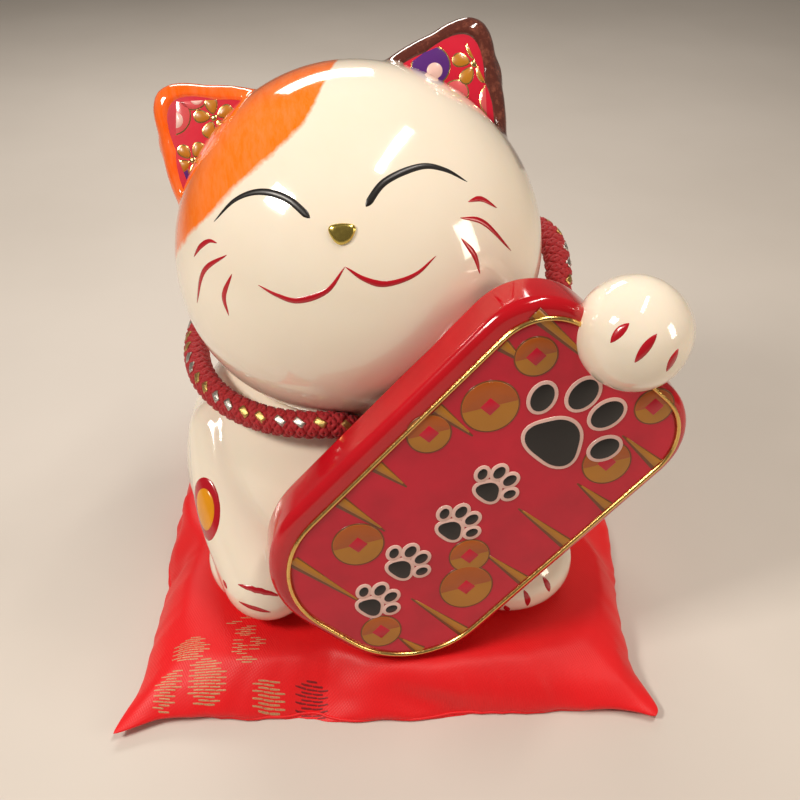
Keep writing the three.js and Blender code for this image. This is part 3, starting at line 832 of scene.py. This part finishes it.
place(madeOf("arm_spot_ring", *spot(spotOutline(1.0), onArm, 0.10), paint["red"]), "cat", "red_glaze")
spotCentre = spot(spotOutline(armSpot["inner"]), onArm, 0.22)
place(madeOf("arm_spot_centre", *spotCentre, paint["yolk"]), "cat", "orange_glaze")
print("painted marks made")


# plaque: slab, gilt rim, printed face

def oblong(grow, steps=14):
    long, wide = plaqueForm["length"] / 2 + grow, plaqueForm["width"] / 2 + grow
    low, high = plaqueForm["foot"] + grow, plaqueForm["head"] + grow
    corners = [(long - high, -wide + high, high, -90), (long - high, wide - high, high, 0),
               (-long + low, wide - low, low, 90), (-long + low, -wide + low, low, 180)]
    line = []
    for x, y, radius, start in corners:
        for k in range(steps + 1):
            turn = math.radians(start + 90 * k / steps)
            line.append(Vector((x + radius * math.cos(turn), y + radius * math.sin(turn), 0)))
    return line


def sameCount(line, count=220):
    total = sum((line[(i + 1) % len(line)] - p).length for i, p in enumerate(line))
    result, carry, step = [], 0.0, total / count
    i, a = 0, line[0]
    while len(result) < count:
        b = line[(i + 1) % len(line)]
        span = (b - a).length
        if carry <= span:
            result.append(a.lerp(b, carry / span) if span else a)
            carry += step
        else:
            carry -= span
            i += 1
            a = line[i % len(line)]
    return result


def slabRings():
    form = plaqueForm
    rings = []
    for back in (False, True):
        for k in range(9):
            turn = math.pi / 2 * ((8 - k) / 8 if back else k / 8)
            depth = form["round"] * (1 - math.cos(turn))
            inset = form["round"] * (1 - math.sin(turn))
            z = -(form["thick"] - depth) if back else -depth
            ring = []
            for p in sameCount(oblong(form["margin"] - inset)):
                stretch = form["side"] * max(0, min(1, (p.y / 12 + 1) / 2))
                ring.append((p.x, p.y + stretch, z))
            rings.append(ring)
    return skin(rings)


slab = madeOf("plaque_body", *inFrame(plaqueFrame, slabRings()), paint["slab"])
work = bmesh.new()
work.from_mesh(slab.data)
cutAt = Vector((0, 0, catFloor * mm))
geometry = work.verts[:] + work.edges[:] + work.faces[:]
bmesh.ops.bisect_plane(work, geom=geometry, plane_co=cutAt, plane_no=Vector((0, 0, 1)), clear_inner=True)
bmesh.ops.holes_fill(work, edges=[e for e in work.edges if e.is_boundary])
work.to_mesh(slab.data)
work.free()
place(slab, "cat", "red_glaze", "plaque_slab")


def rimPart():
    form = plaqueForm
    rings = []
    for k in range(9):
        turn = math.pi * k / 8
        shift = -form["rim"] / 2 + math.cos(turn) * form["rim"] / 2
        rings.append([(p.x, p.y, math.sin(turn) * 0.95) for p in sameCount(oblong(shift))])
    rings.append([(p.x, p.y, -0.15) for p in sameCount(oblong(-form["rim"]))])
    rings.append([(p.x, p.y, -0.15) for p in sameCount(oblong(0))])
    rings.append(rings[0])
    return skin(rings, False)


place(madeOf("plaque_rim", *inFrame(plaqueFrame, rimPart()), paint["gilt"]), "cat", "gilt", "plaque_gilt_rim")


# flat printed shape in the plaque's frame, a hair thick
def printed(outline, top, base=0.0):
    loop = [Vector((*p, 0)) if len(p) == 2 else Vector(p) for p in outline]
    middle = sum(loop, Vector()) / len(loop)
    rings = [[(p.x, p.y, base) for p in loop], [(p.x, p.y, top - 0.02) for p in loop],
             [((p.x - middle.x) * 0.985 + middle.x, (p.y - middle.y) * 0.985 + middle.y, top) for p in loop]]
    return closedOn((middle.x, middle.y, top), rings)


sheet = printed(sameCount(oblong(-plaqueForm["rim"] + 0.05)), 0.3)
place(madeOf("plaque_face", *inFrame(plaqueFrame, sheet), paint["crimson"]), "cat", "printed_sheet",
      "plaque_face_transfer")

motifs = dict(
    # where each bar stands along the plaque, which long edge it grows from, and where its tip is
    bars=[(37, 1, 20.8), (47.4, 1, 5.1), (-19.3, 1, 13.3), (-5.9, 1, 18.4), (-40.6, 1, 2.1), (15, 1, 16),
          (-31.7, -1, -8), (-8.9, -1, -13), (6.8, -1, -9.5), (21.7, -1, -16.1), (38.7, -1, -14.2),
          (-44, -1, -15)],
    barWidth=3.7, barTop=0.36,
    coins=[(23.6, 18.7, 7.3), (8.8, 25.0, 5.6), (49.4, -14, 5.2), (30.8, -17.3, 6.5), (-26.6, 15.9, 6.8),
           (-19.9, -17.3, 7.3), (-11.8, -10.3, 5.5), (-45, -9.4, 5.6), (40, 20, 5.4)],
    coinTop=0.42, hole=1.75,
    paws=[(31.8, -1.5, 17), (8, 0.9, 7.2), (-6.6, -0.1, 7.2), (-23.7, 1.5, 7.2), (-38, -1, 7.2)],
    pawTop=0.52, pawEdge=0.95,
)


def onPlaque(name, parts, colour):
    return place(madeOf(name, *inFrame(plaqueFrame, merge(parts)), paint[colour]), "cat", "printed_sheet")


def bar(u, side, tip, width, top):
    edge = side * (plaqueForm["width"] / 2 - plaqueForm["rim"] - 0.3)
    low = plaqueForm["length"] / 2 - plaqueForm["foot"]
    if u < -low:
        over = -u - low
        edge -= side * (plaqueForm["foot"] - math.sqrt(max(1, plaqueForm["foot"] ** 2 - over ** 2)))
    return printed([(u - width / 2, edge), (u + width / 2, edge), (u + 0.2, tip), (u - 0.2, tip)], top)


bars, barEdges = [], []
for u, side, tip in motifs["bars"]:
    barEdges.append(bar(u, side, tip, motifs["barWidth"], motifs["barTop"]))
    bars.append(bar(u + 0.25, side, tip + side * 1.5, motifs["barWidth"] * 0.62, motifs["barTop"] + 0.05))
onPlaque("face_bar_edges", barEdges, "brownPrint")
onPlaque("face_bars", bars, "ochre")


def disc(u, v, radius, count=40):
    turns = [tau * k / count for k in range(count)]
    return [(u + radius * math.cos(a), v + radius * math.sin(a)) for a in turns]


coinEdges, coinFaces, coinHalves, coinHoles = [], [], [], []
for u, v, radius in motifs["coins"]:
    top = motifs["coinTop"]
    coinEdges.append(printed(disc(u, v, radius), top))
    coinFaces.append(printed(disc(u, v, radius - 0.35), top + 0.03))
    half = [(x, y) for x, y in disc(u, v, radius - 0.4) if (x - u) * 0.6 + (y - v) * 0.8 > -0.1 * radius]
    half.sort(key=lambda p: math.atan2(-(p[0] - u) * 0.8 + (p[1] - v) * 0.6,
                                       (p[0] - u) * 0.6 + (p[1] - v) * 0.8))
    coinHalves.append(printed(half, top + 0.05))
    size = motifs["hole"]
    square = [(u + size * i, v + size * j) for i, j in ((-1, -1), (1, -1), (1, 1), (-1, 1))]
    coinHoles.append(printed(square, top + 0.08))
onPlaque("coin_edges", coinEdges, "brownPrint")
onPlaque("coin_faces", coinFaces, "ochre")
onPlaque("coin_shades", coinHalves, "orangePrint")
onPlaque("coin_holes", coinHoles, "crimson")


# a paw print: one broad pad under four toes, toes towards the plaque's high end
def pawShapes(u, v, size, grow):
    shapes = []
    pad = []
    for k in range(48):
        a = tau * k / 48
        lobes = 1 + 0.10 * math.cos(3 * a)
        pad.append((u - size * 0.34 + (size * 0.40 * lobes + grow) * math.cos(a),
                    v + (size * 0.50 * lobes + grow) * math.sin(a)))
    shapes.append(pad)
    for out, up, long in ((0.10, 0.78, 0.25), (0.56, 0.30, 0.29), (0.56, -0.30, 0.29), (0.10, -0.78, 0.25)):
        lean = up * 0.55
        toe = []
        for k in range(32):
            a = tau * k / 32
            x, y = (size * long + grow) * math.cos(a), (size * long * 0.74 + grow) * math.sin(a)
            toe.append((u + size * out + x * math.cos(lean) - y * math.sin(lean),
                        v + size * up + x * math.sin(lean) + y * math.cos(lean)))
        shapes.append(toe)
    return shapes


pawEdges, pawInks = [], []
for u, v, size in motifs["paws"]:
    for k, shape in enumerate(pawShapes(u, v, size * 0.9, motifs["pawEdge"])):
        pawEdges.append(printed(shape, motifs["pawTop"] + 0.004 * k))
    for shape in pawShapes(u, v, size * 0.9, 0):
        pawInks.append(printed(shape, motifs["pawTop"] + 0.1))
onPlaque("paw_print_edges", pawEdges, "pink")
onPlaque("paw_prints", pawInks, "black")
print("plaque made")


# printed sheets in the ears

def clipped(shape, outline):
    # keeps what of a shape lies inside a convex outline
    turn = 1 if sum(outline[i - 1].cross(outline[i]).z for i in range(len(outline))) > 0 else -1
    kept = [Vector((*p, 0)) for p in shape]
    for i, b in enumerate(outline):
        a = outline[i - 1]
        if (b - a).length < 1e-6:
            continue
        inward = Vector((-(b - a).y, (b - a).x, 0)) * turn
        result = []
        for k, p in enumerate(kept):
            q = kept[k - 1]
            dp, dq = (p - a).dot(inward), (q - a).dot(inward)
            if (dp >= 0) != (dq >= 0):
                result.append(q.lerp(p, dq / (dq - dp)))
            if dp >= 0:
                result.append(p)
        kept = result
    return kept


def petals(u, v, size, turn, grow=0.0, count=5, slim=0.36, reach=0.42):
    shapes = []
    for k in range(count):
        lean = turn + tau * k / count
        shape = []
        for i in range(18):
            a = tau * i / 18
            x = size * 0.56 + (size * reach + grow) * math.cos(a)
            y = (size * slim + grow) * math.sin(a) * (1 + 0.3 * math.cos(a))  # broader at the outer end
            shape.append((u + x * math.cos(lean) - y * math.sin(lean),
                          v + x * math.sin(lean) + y * math.cos(lean)))
        shapes.append(shape)
    return shapes


blossoms = dict(
    sheet=0.5, top=0.06, slim=0.24, reach=0.34,
    stars={-1: [(-29.4, 38.7, 5.8, 0.3), (-37.4, 29.4, 5.4, 0.9)],
           1: [(39.5, 37.7, 6.2, 0.2), (36.5, 48.5, 3.4, 0.8)]},
    rounds={-1: [(-40.2, 41.7, 4.8, "rose"), (-33.5, 46.0, 4.0, "rose"), (-43.5, 26.5, 4.2, "purple")],
            1: [(28.5, 39.5, 4.8, "purple"), (44.0, 27.5, 4.8, "rose"), (33.5, 31.5, 3.0, "rose")]},
)


def inEar(part, front):
    points, faces = part
    return [headFrame @ Vector((p[0], front - p[2], p[1])) for p in points], faces


for side, name in ((-1, "right_ear"), (1, "left_ear")):
    front = ears["front"] + ears["hollow"] - 0.05
    outline = earOutline(side, ears["rim"] + 0.25)
    top = blossoms["sheet"]
    ground = printed([(p.x, p.y) for p in outline], top)
    piece = madeOf(name + "_sheet", *inEar(ground, front), paint["crimson"])
    place(piece, "cat", "printed_sheet", name + "_transfer")
    inner = grown(outline, -0.3)
    layers = {"giltDot": []}
    for u, v, size, colour in blossoms["rounds"][side]:
        for shape, use, up in ((disc(u, v, size + 0.35, 28), "giltDot", 0.03),
                               (disc(u, v, size, 28), colour, 0.05),
                               (disc(u + 0.7, v - 1.4, size * 0.42, 24), "pink", 0.07)):
            kept = clipped(shape, inner)
            if len(kept) > 2:
                layers.setdefault(use, []).append(printed(kept, top + up))
    for u, v, size, turn in blossoms["stars"][side]:
        slim, reach = blossoms["slim"], blossoms["reach"]
        shapes = [(shape, "giltDot", 0.08) for shape in petals(u, v, size, turn, 0.25, 5, slim, reach)]
        shapes += [(shape, "ochre", 0.11) for shape in petals(u, v, size, turn, -0.05, 5, slim, reach)]
        shapes.append((disc(u, v, size * 0.15, 12), "giltDot", 0.13))
        for shape, use, up in shapes:
            kept = clipped(shape, inner)
            if len(kept) > 2:
                layers.setdefault(use, []).append(printed(kept, top + up))
    for colour, shapes in layers.items():
        piece = madeOf(name + "_blossoms_" + colour, *inEar(merge(shapes), front), paint[colour])
        place(piece, "cat", "gilt" if colour == "giltDot" else "printed_sheet")
print("ear sheets made")


# braided collar cord, held against the body all the way

cord = dict(
    route=[(-5, -27, 46), (-6.5, -31.5, 53), (-10, -38, 61.5), (-14, -39.6, 64), (-22, -39, 63.6),
           (-32, -36, 63), (-43, -28.5, 62.6), (-52, -16, 62.6), (-56.5, 1, 63), (-54.5, 16, 66),
           (-44, 33, 71), (-26, 42.5, 76), (-4, 46, 80), (17, 42, 84), (34, 29, 89), (45, 12, 92),
           (46.8, -3, 86), (42.5, -17, 76), (33, -28, 69), (22, -36, 65.4), (13.5, -38.8, 63.2),
           (9, -36.5, 60), (6.5, -31.5, 53), (5, -27, 46)],
    braidRadius=2.85, strand=0.72, pitch=11.5, strands=16, weave=0.24, stepsPerTurn=32, thick=3.62,
    fleckEvery=5.2, fleckRise=0.95, fleckSpread=14, fleckLong=2.8, fleckWide=1.9,
)


def evenly(line, gap):
    result, carry = [line[0]], gap
    for a, b in zip(line, line[1:]):
        span = (b - a).length
        while carry <= span:
            result.append(a.lerp(b, carry / span))
            carry += gap
        carry -= span
    return result


centre = evenly(spline(lifted(cord["route"]), 24, centripetal=True), cord["pitch"] / cord["stepsPerTurn"])
cordFrames = carriedFrames(centre)
strandSets = {"braid": [tube(centre, cord["braidRadius"], 14)], "goldThread": [], "silverThread": []}
perHand = cord["strands"] // 2
for hand in (1, -1):
    for n in range(perHand):
        line = []
        for i, (point, along, across, up) in enumerate(cordFrames):
            turn = hand * tau * i / cord["stepsPerTurn"] + tau * n / perHand
            beat = perHand * tau * i / cord["stepsPerTurn"] + math.pi * n + (0 if hand > 0 else math.pi)
            radius = cord["braidRadius"] + cord["weave"] * math.sin(beat)
            line.append(point + (across * math.cos(turn) + up * math.sin(turn)) * radius)
        strandSets["braid"].append(tube(line, cord["strand"], 7))
# short metal strips surface along the front, two gold and then two silver
sofar, due, count = 0.0, 2.0, 0
for i in range(1, len(cordFrames) - 1):
    point, along, _, _ = cordFrames[i]
    sofar += (point - cordFrames[i - 1][0]).length
    if sofar < due:
        continue
    due += cord["fleckEvery"]
    outward = Vector((point.x, point.y - bodyForm["back"], 0)).normalized()
    outward += Vector((0, 0, cord["fleckRise"]))
    outward = (outward - along * outward.dot(along)).normalized()
    sideways = along.cross(outward)
    strip = []
    for share in (-1, -0.6, -0.2, 0.2, 0.6, 1):
        turn = math.radians(cord["fleckSpread"]) * share
        out = outward * math.cos(turn) + sideways * math.sin(turn)
        onCord = point + out * (cord["thick"] - 0.12 * abs(share))
        strip.append(onCord + along * cord["fleckLong"] / 2 * share)
    rings = []
    for at, (_, run, _, _) in zip(strip, carriedFrames(strip)):
        out = (at - point - along * (at - point).dot(along)).normalized()
        flank = run.cross(out).normalized()
        wide, high = cord["fleckWide"] / 2, 0.16
        rings.append([at + flank * wide, at + flank * wide * 0.7 + out * high,
                      at - flank * wide * 0.7 + out * high, at - flank * wide, at - out * 0.5])
    strandSets["goldThread" if count % 4 < 2 else "silverThread"].append(skin(rings))
    count += 1
names = dict(braid="collar_braid", goldThread="collar_gold_thread", silverThread="collar_silver_thread")
for colour, tubes in strandSets.items():
    piece = place(madeOf(names[colour], *merge(tubes), paint[colour]), "cat", "braid")
    if colour == "braid":
        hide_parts("collar_cord")
loop = spline(lifted([(-8.6, -41.6, 60.2), (-7.2, -43.4, 61.6), (-6.4, -43.2, 64.2), (-7.4, -41.2, 65.6)]), 8)
place(madeOf("collar_thread_loop", *tube(loop, 0.3, 8), paint["goldThread"]), "cat", "braid")
cordLength = sum((b - a).length for a, b in zip(centre, centre[1:]))
print("collar cord", round(cordLength), "mm")


# soft stopper in the casting hole

stopper = dict(flange=12.5, neck=9.7, low=6.9, lip=1.8, reach=5.2, edge=0.6, nub=2.2)


def stopperPart(count=72):
    form = stopper
    top = form["low"] + form["lip"]
    shape = [(0.3, form["low"] + 0.5), (form["nub"], form["low"] + 0.5), (form["nub"] + 0.5, form["low"]),
             (form["flange"] - form["edge"], form["low"]), (form["flange"] - 0.15, form["low"] + 0.2),
             (form["flange"], form["low"] + form["edge"]), (form["flange"], top - 0.3),
             (form["flange"] - 0.3, top), (form["neck"] + 0.4, top), (form["neck"], top + 0.4),
             (form["neck"], top + form["reach"] - 1), (form["neck"] - 1, top + form["reach"]),
             (0.3, top + form["reach"])]
    rings = []
    for radius, height in shape:
        rings.append(ringAt(radius, radius, height, count))
    points, faces = skin(rings)
    return lifted(points), faces


place(madeOf("stopper_moulding", *stopperPart(), paint["plug"]), "stopper", "soft_plug", "base_stopper")


# satin cushion, filled by pressure and pressed flat by the cat

cushion = dict(half=71.5, seam=5.0, crown=12.0, steps=26, voxel=4.5, pressure=4.0, frames=20, cap=9.0,
               seat=13.9, tip=75.2, side=72.8, pinch=0.55, wrinkle=0.3, relax=10, seamAt=0.7, droop=2.6,
               slant=4.2)


def pillowPart():
    form = cushion
    n = form["steps"]
    points, faces = [], []
    for up in (1, -1):
        for j in range(n + 1):
            for i in range(n + 1):
                s, t = i / n * 2 - 1, j / n * 2 - 1
                plump = math.sqrt(max(0, 1 - abs(s) ** 4)) * math.sqrt(max(0, 1 - abs(t) ** 4))
                pull = 1 - 0.010 * (1 - (s * t) ** 2) * max(abs(s), abs(t)) ** 4
                reach = form["crown"] - form["seam"] if up > 0 else -form["seam"] + 1
                z = form["seam"] + up * 0.8 + reach * plump
                points.append((s * form["half"] * pull, t * form["half"] * pull, z))
    row = n + 1
    low = row * row
    for j in range(n):
        for i in range(n):
            a = j * row + i
            faces.append([a, a + 1, a + row + 1, a + row])
            faces.append([low + a, low + a + row, low + a + row + 1, low + a + 1])
    for i in range(n):
        back, left, right = n * row + i, i * row, i * row + n
        faces.append([low + i, low + i + 1, i + 1, i])
        faces.append([low + back + 1, low + back, back, back + 1])
        faces.append([low + left + row, low + left, left, left + row])
        faces.append([low + right, low + right + row, right + row, right])
    return points, faces


pillow = madeOf("cushion_cover", *pillowPart(), paint["satin"])
remesh = pillow.modifiers.new("even", "REMESH")
remesh.mode = "VOXEL"
remesh.voxel_size = cushion["voxel"] * mm
settled(pillow)
restPlaces = [v.co.copy() for v in pillow.data.vertices]
cloth = pillow.modifiers.new("fill", "CLOTH")
cloth.settings.quality = 5
cloth.settings.use_pressure = True
cloth.settings.uniform_pressure_force = cushion["pressure"]
cloth.settings.effector_weights.gravity = 0
cloth.settings.tension_stiffness = 40
cloth.settings.compression_stiffness = 20
scene = bpy.context.scene
for step in range(1, cushion["frames"] + 1):
    scene.frame_set(step)
settled(pillow)
scene.frame_set(1)
for vertex, rest in zip(pillow.data.vertices, restPlaces):
    moved = vertex.co - rest
    if moved.length > cushion["cap"] * mm:
        vertex.co = rest + moved.normalized() * cushion["cap"] * mm
finer = pillow.modifiers.new("finer", "SUBSURF")
finer.levels = finer.render_levels = 2
relax = pillow.modifiers.new("relax", "SMOOTH")
relax.iterations = cushion["relax"]
settled(pillow)


def softLimit(value, low, high, ease=1.2):
    # eases a height towards its limits in place of a hard stop
    if value > high - ease:
        value = high - ease * math.exp(-(value - high + ease) / ease)
    if value < low + ease:
        value = low + ease * math.exp((value - low - ease) / ease)
    return value


random.seed(7)
folds = [(random.uniform(0, tau), random.uniform(26, 44), random.uniform(0.5, 1.0)) for _ in range(8)]
# how far the filled skin reaches in each direction, evened out
slots = 180
reachAt = [0.0] * slots
for vertex in pillow.data.vertices:
    slot = round(math.atan2(vertex.co.y, vertex.co.x) / tau * slots) % slots
    reachAt[slot] = max(reachAt[slot], vertex.co.xy.length / mm)
evened = [max(reachAt[(i + k) % slots] for k in (-1, 0, 1)) for i in range(slots)]


def reachTowards(angle):
    position = angle / tau * slots
    low = math.floor(position)
    share = position - low
    return evened[low % slots] * (1 - share) + evened[(low + 1) % slots] * share


for vertex in pillow.data.vertices:
    x, y, z = vertex.co / mm
    angle = math.atan2(y, x)
    thin, wide = sorted((abs(math.cos(angle)), abs(math.sin(angle))))
    towardsTip = thin / wide
    target = (cushion["side"] + (cushion["tip"] - cushion["side"]) * towardsTip ** 2) / wide
    out = min(1, math.hypot(x, y) / reachTowards(angle))
    stretch = 1 + (target / reachTowards(angle) - 1) * out ** 2
    near = max(0, min(1, (out - 0.55) / 0.4))
    ripple = sum(size * math.sin(angle * rate + start) for start, rate, size in folds) / 4
    z += cushion["wrinkle"] * ripple * near * (1 if z > cushion["seam"] else 0.2)
    pinch = 1 - cushion["pinch"] * (towardsTip * out) ** 6
    z = cushion["seam"] + (z - cushion["seam"]) * pinch
    z -= cushion["droop"] * near ** 2
    x, y = x * stretch, y * stretch
    if y < 0:
        y -= cushion["slant"] * max(0, 0.3 - x / cushion["tip"]) / 1.3 * (y / cushion["tip"]) ** 2
    vertex.co = vec(x, y, softLimit(z, 0.0, cushion["seat"]))
for polygon in pillow.data.polygons:
    polygon.use_smooth = True
pillow.data.materials.clear()
pillow.data.materials.append(paint["satin"])
place(pillow, "cushion", "satin", "cushion_top_cover", "cushion_bottom_cover", "cushion_wadding")
pillowSkin = skinOf(pillow)
print("cushion filled", len(pillow.data.polygons))


def onPillow(x, y, lift=0.0):
    top, normal, _, _ = pillowSkin.ray_cast(vec(x, y, 60), Vector((0, 0, -1)))
    if top is None:
        return None
    return top / mm + normal * lift


# seam round the four sides
seamLine = []
for k in range(240):
    a = tau * k / 240
    outward = Vector((math.cos(a), math.sin(a), 0))
    start = (outward * 130 + Vector((0, 0, cushion["seamAt"]))) * mm
    hit, normal, _, _ = pillowSkin.ray_cast(start, -outward)
    if hit is not None:
        seamLine.append(hit / mm - outward * 0.15)
seam = tube(seamLine, 0.45, 8, closed=True)
place(madeOf("cushion_seam", *seam, paint["satin"]), "cushion", "satin")


# woven blossoms: short level threads that fill each petal

weaving = dict(row=0.66, thread=0.50, long=2.9, gap=0.16, lift=0.14, down=2.8,
               # middle, half sizes and lean of each
               ovals=[(-56.7, -55.5, 4.9, 3.6, 0.3), (-51.2, -64.0, 4.8, 5.4, 0.2),
                      (-62.0, -66.0, 2.8, 5.6, -0.4), (-49.0, -72.0, 4.6, 1.8, 0.1),
                      (-33.7, -68.0, 4.4, 4.6, 0.3), (-24.0, -73.2, 3.4, 1.0, 0.0),
                      (10.5, -72.4, 2.8, 1.2, 0.0), (-41.5, -50.0, 3.2, 1.5, 0.5),
                      (-42.6, -55.6, 1.7, 3.0, 0.4), (-38.0, -54.5, 1.6, 3.2, -0.2),
                      (-40.0, -59.4, 3.0, 1.4, 0.0)],
               dark=[(-21.7, -66.5, 4.6, 4.4, 0.2)],
               stems=[((-39.5, -45.5), (-43.0, -48.5)), ((-43.0, -48.5), (-47.0, -50.5))])


def oval(x, y, halfX, halfY, lean, count=26):
    y -= weaving["down"]
    turns = [tau * k / count for k in range(count)]
    return [(x + halfX * math.cos(a) * math.cos(lean) - halfY * math.sin(a) * math.sin(lean),
             y + halfX * math.cos(a) * math.sin(lean) + halfY * math.sin(a) * math.cos(lean)) for a in turns]


def insideShape(x, y, shape):
    inside = False
    for i, (bx, by) in enumerate(shape):
        ax, ay = shape[i - 1]
        if (ay > y) != (by > y) and x < (bx - ax) * (y - ay) / (by - ay) + ax:
            inside = not inside
    return inside


def threads(shapes, lift):
    parts = []
    for shape in shapes:
        lowY, highY = min(p[1] for p in shape), max(p[1] for p in shape)
        lowX, highX = min(p[0] for p in shape), max(p[0] for p in shape)
        row = 0
        y = lowY
        while y < highY:
            x = lowX - (row % 2) * weaving["long"] * 0.5
            while x < highX:
                a, b = x, x + weaving["long"]
                if insideShape((a + b) / 2, y, shape):
                    ends = []
                    for share in (0, 0.33, 0.67, 1):
                        px = a + (b - a) * share
                        rise = lift * (0.2 + 0.8 * math.sin(math.pi * (0.1 + 0.8 * share)))
                        ends.append([onPillow(px, y - weaving["thread"] / 2, -0.05), onPillow(px, y, rise),
                                     onPillow(px, y + weaving["thread"] / 2, -0.05)])
                    if all(p is not None for end in ends for p in end):
                        parts.append(ribbon(ends))
                x += weaving["long"] + weaving["gap"]
            y += weaving["row"]
            row += 1
    return parts


gold = threads([oval(*shape) for shape in weaving["ovals"]], weaving["lift"])
dark = threads([oval(*shape) for shape in weaving["dark"]], weaving["lift"])
for (ax, ay), (bx, by) in weaving["stems"]:
    across = Vector((-(by - ay), bx - ax)).normalized() * 0.7
    gold += threads([[(ax - across.x, ay - across.y), (ax + across.x, ay + across.y),
                      (bx + across.x, by + across.y), (bx - across.x, by - across.y)]], weaving["lift"])
place(madeOf("brocade_threads", *merge(gold), paint["brocade"]), "cushion", "satin")
place(madeOf("brocade_red_threads", *merge(dark), paint["brocadeRed"]), "cushion", "satin")
print("brocade woven", len(gold) + len(dark))


# floor

floorDesk = Desk("pale_floor")
where = floorDesk.place()
cloudy = floorDesk.noise(where, 6, 4)
tint = floorDesk.blend(cloudy.ramp(0.3, 0.7), (0.60, 0.56, 0.51), (0.66, 0.62, 0.57))
pale = floorDesk.finish(Base_Color=tint, Roughness=cloudy * 0.1 + 0.5)
size = 3000
floorPiece = madeOf("floor", [(-size, -size, 0), (size, -size, 0), (size, size, 0), (-size, size, 0)],
                    [[0, 1, 2, 3]], pale, False)
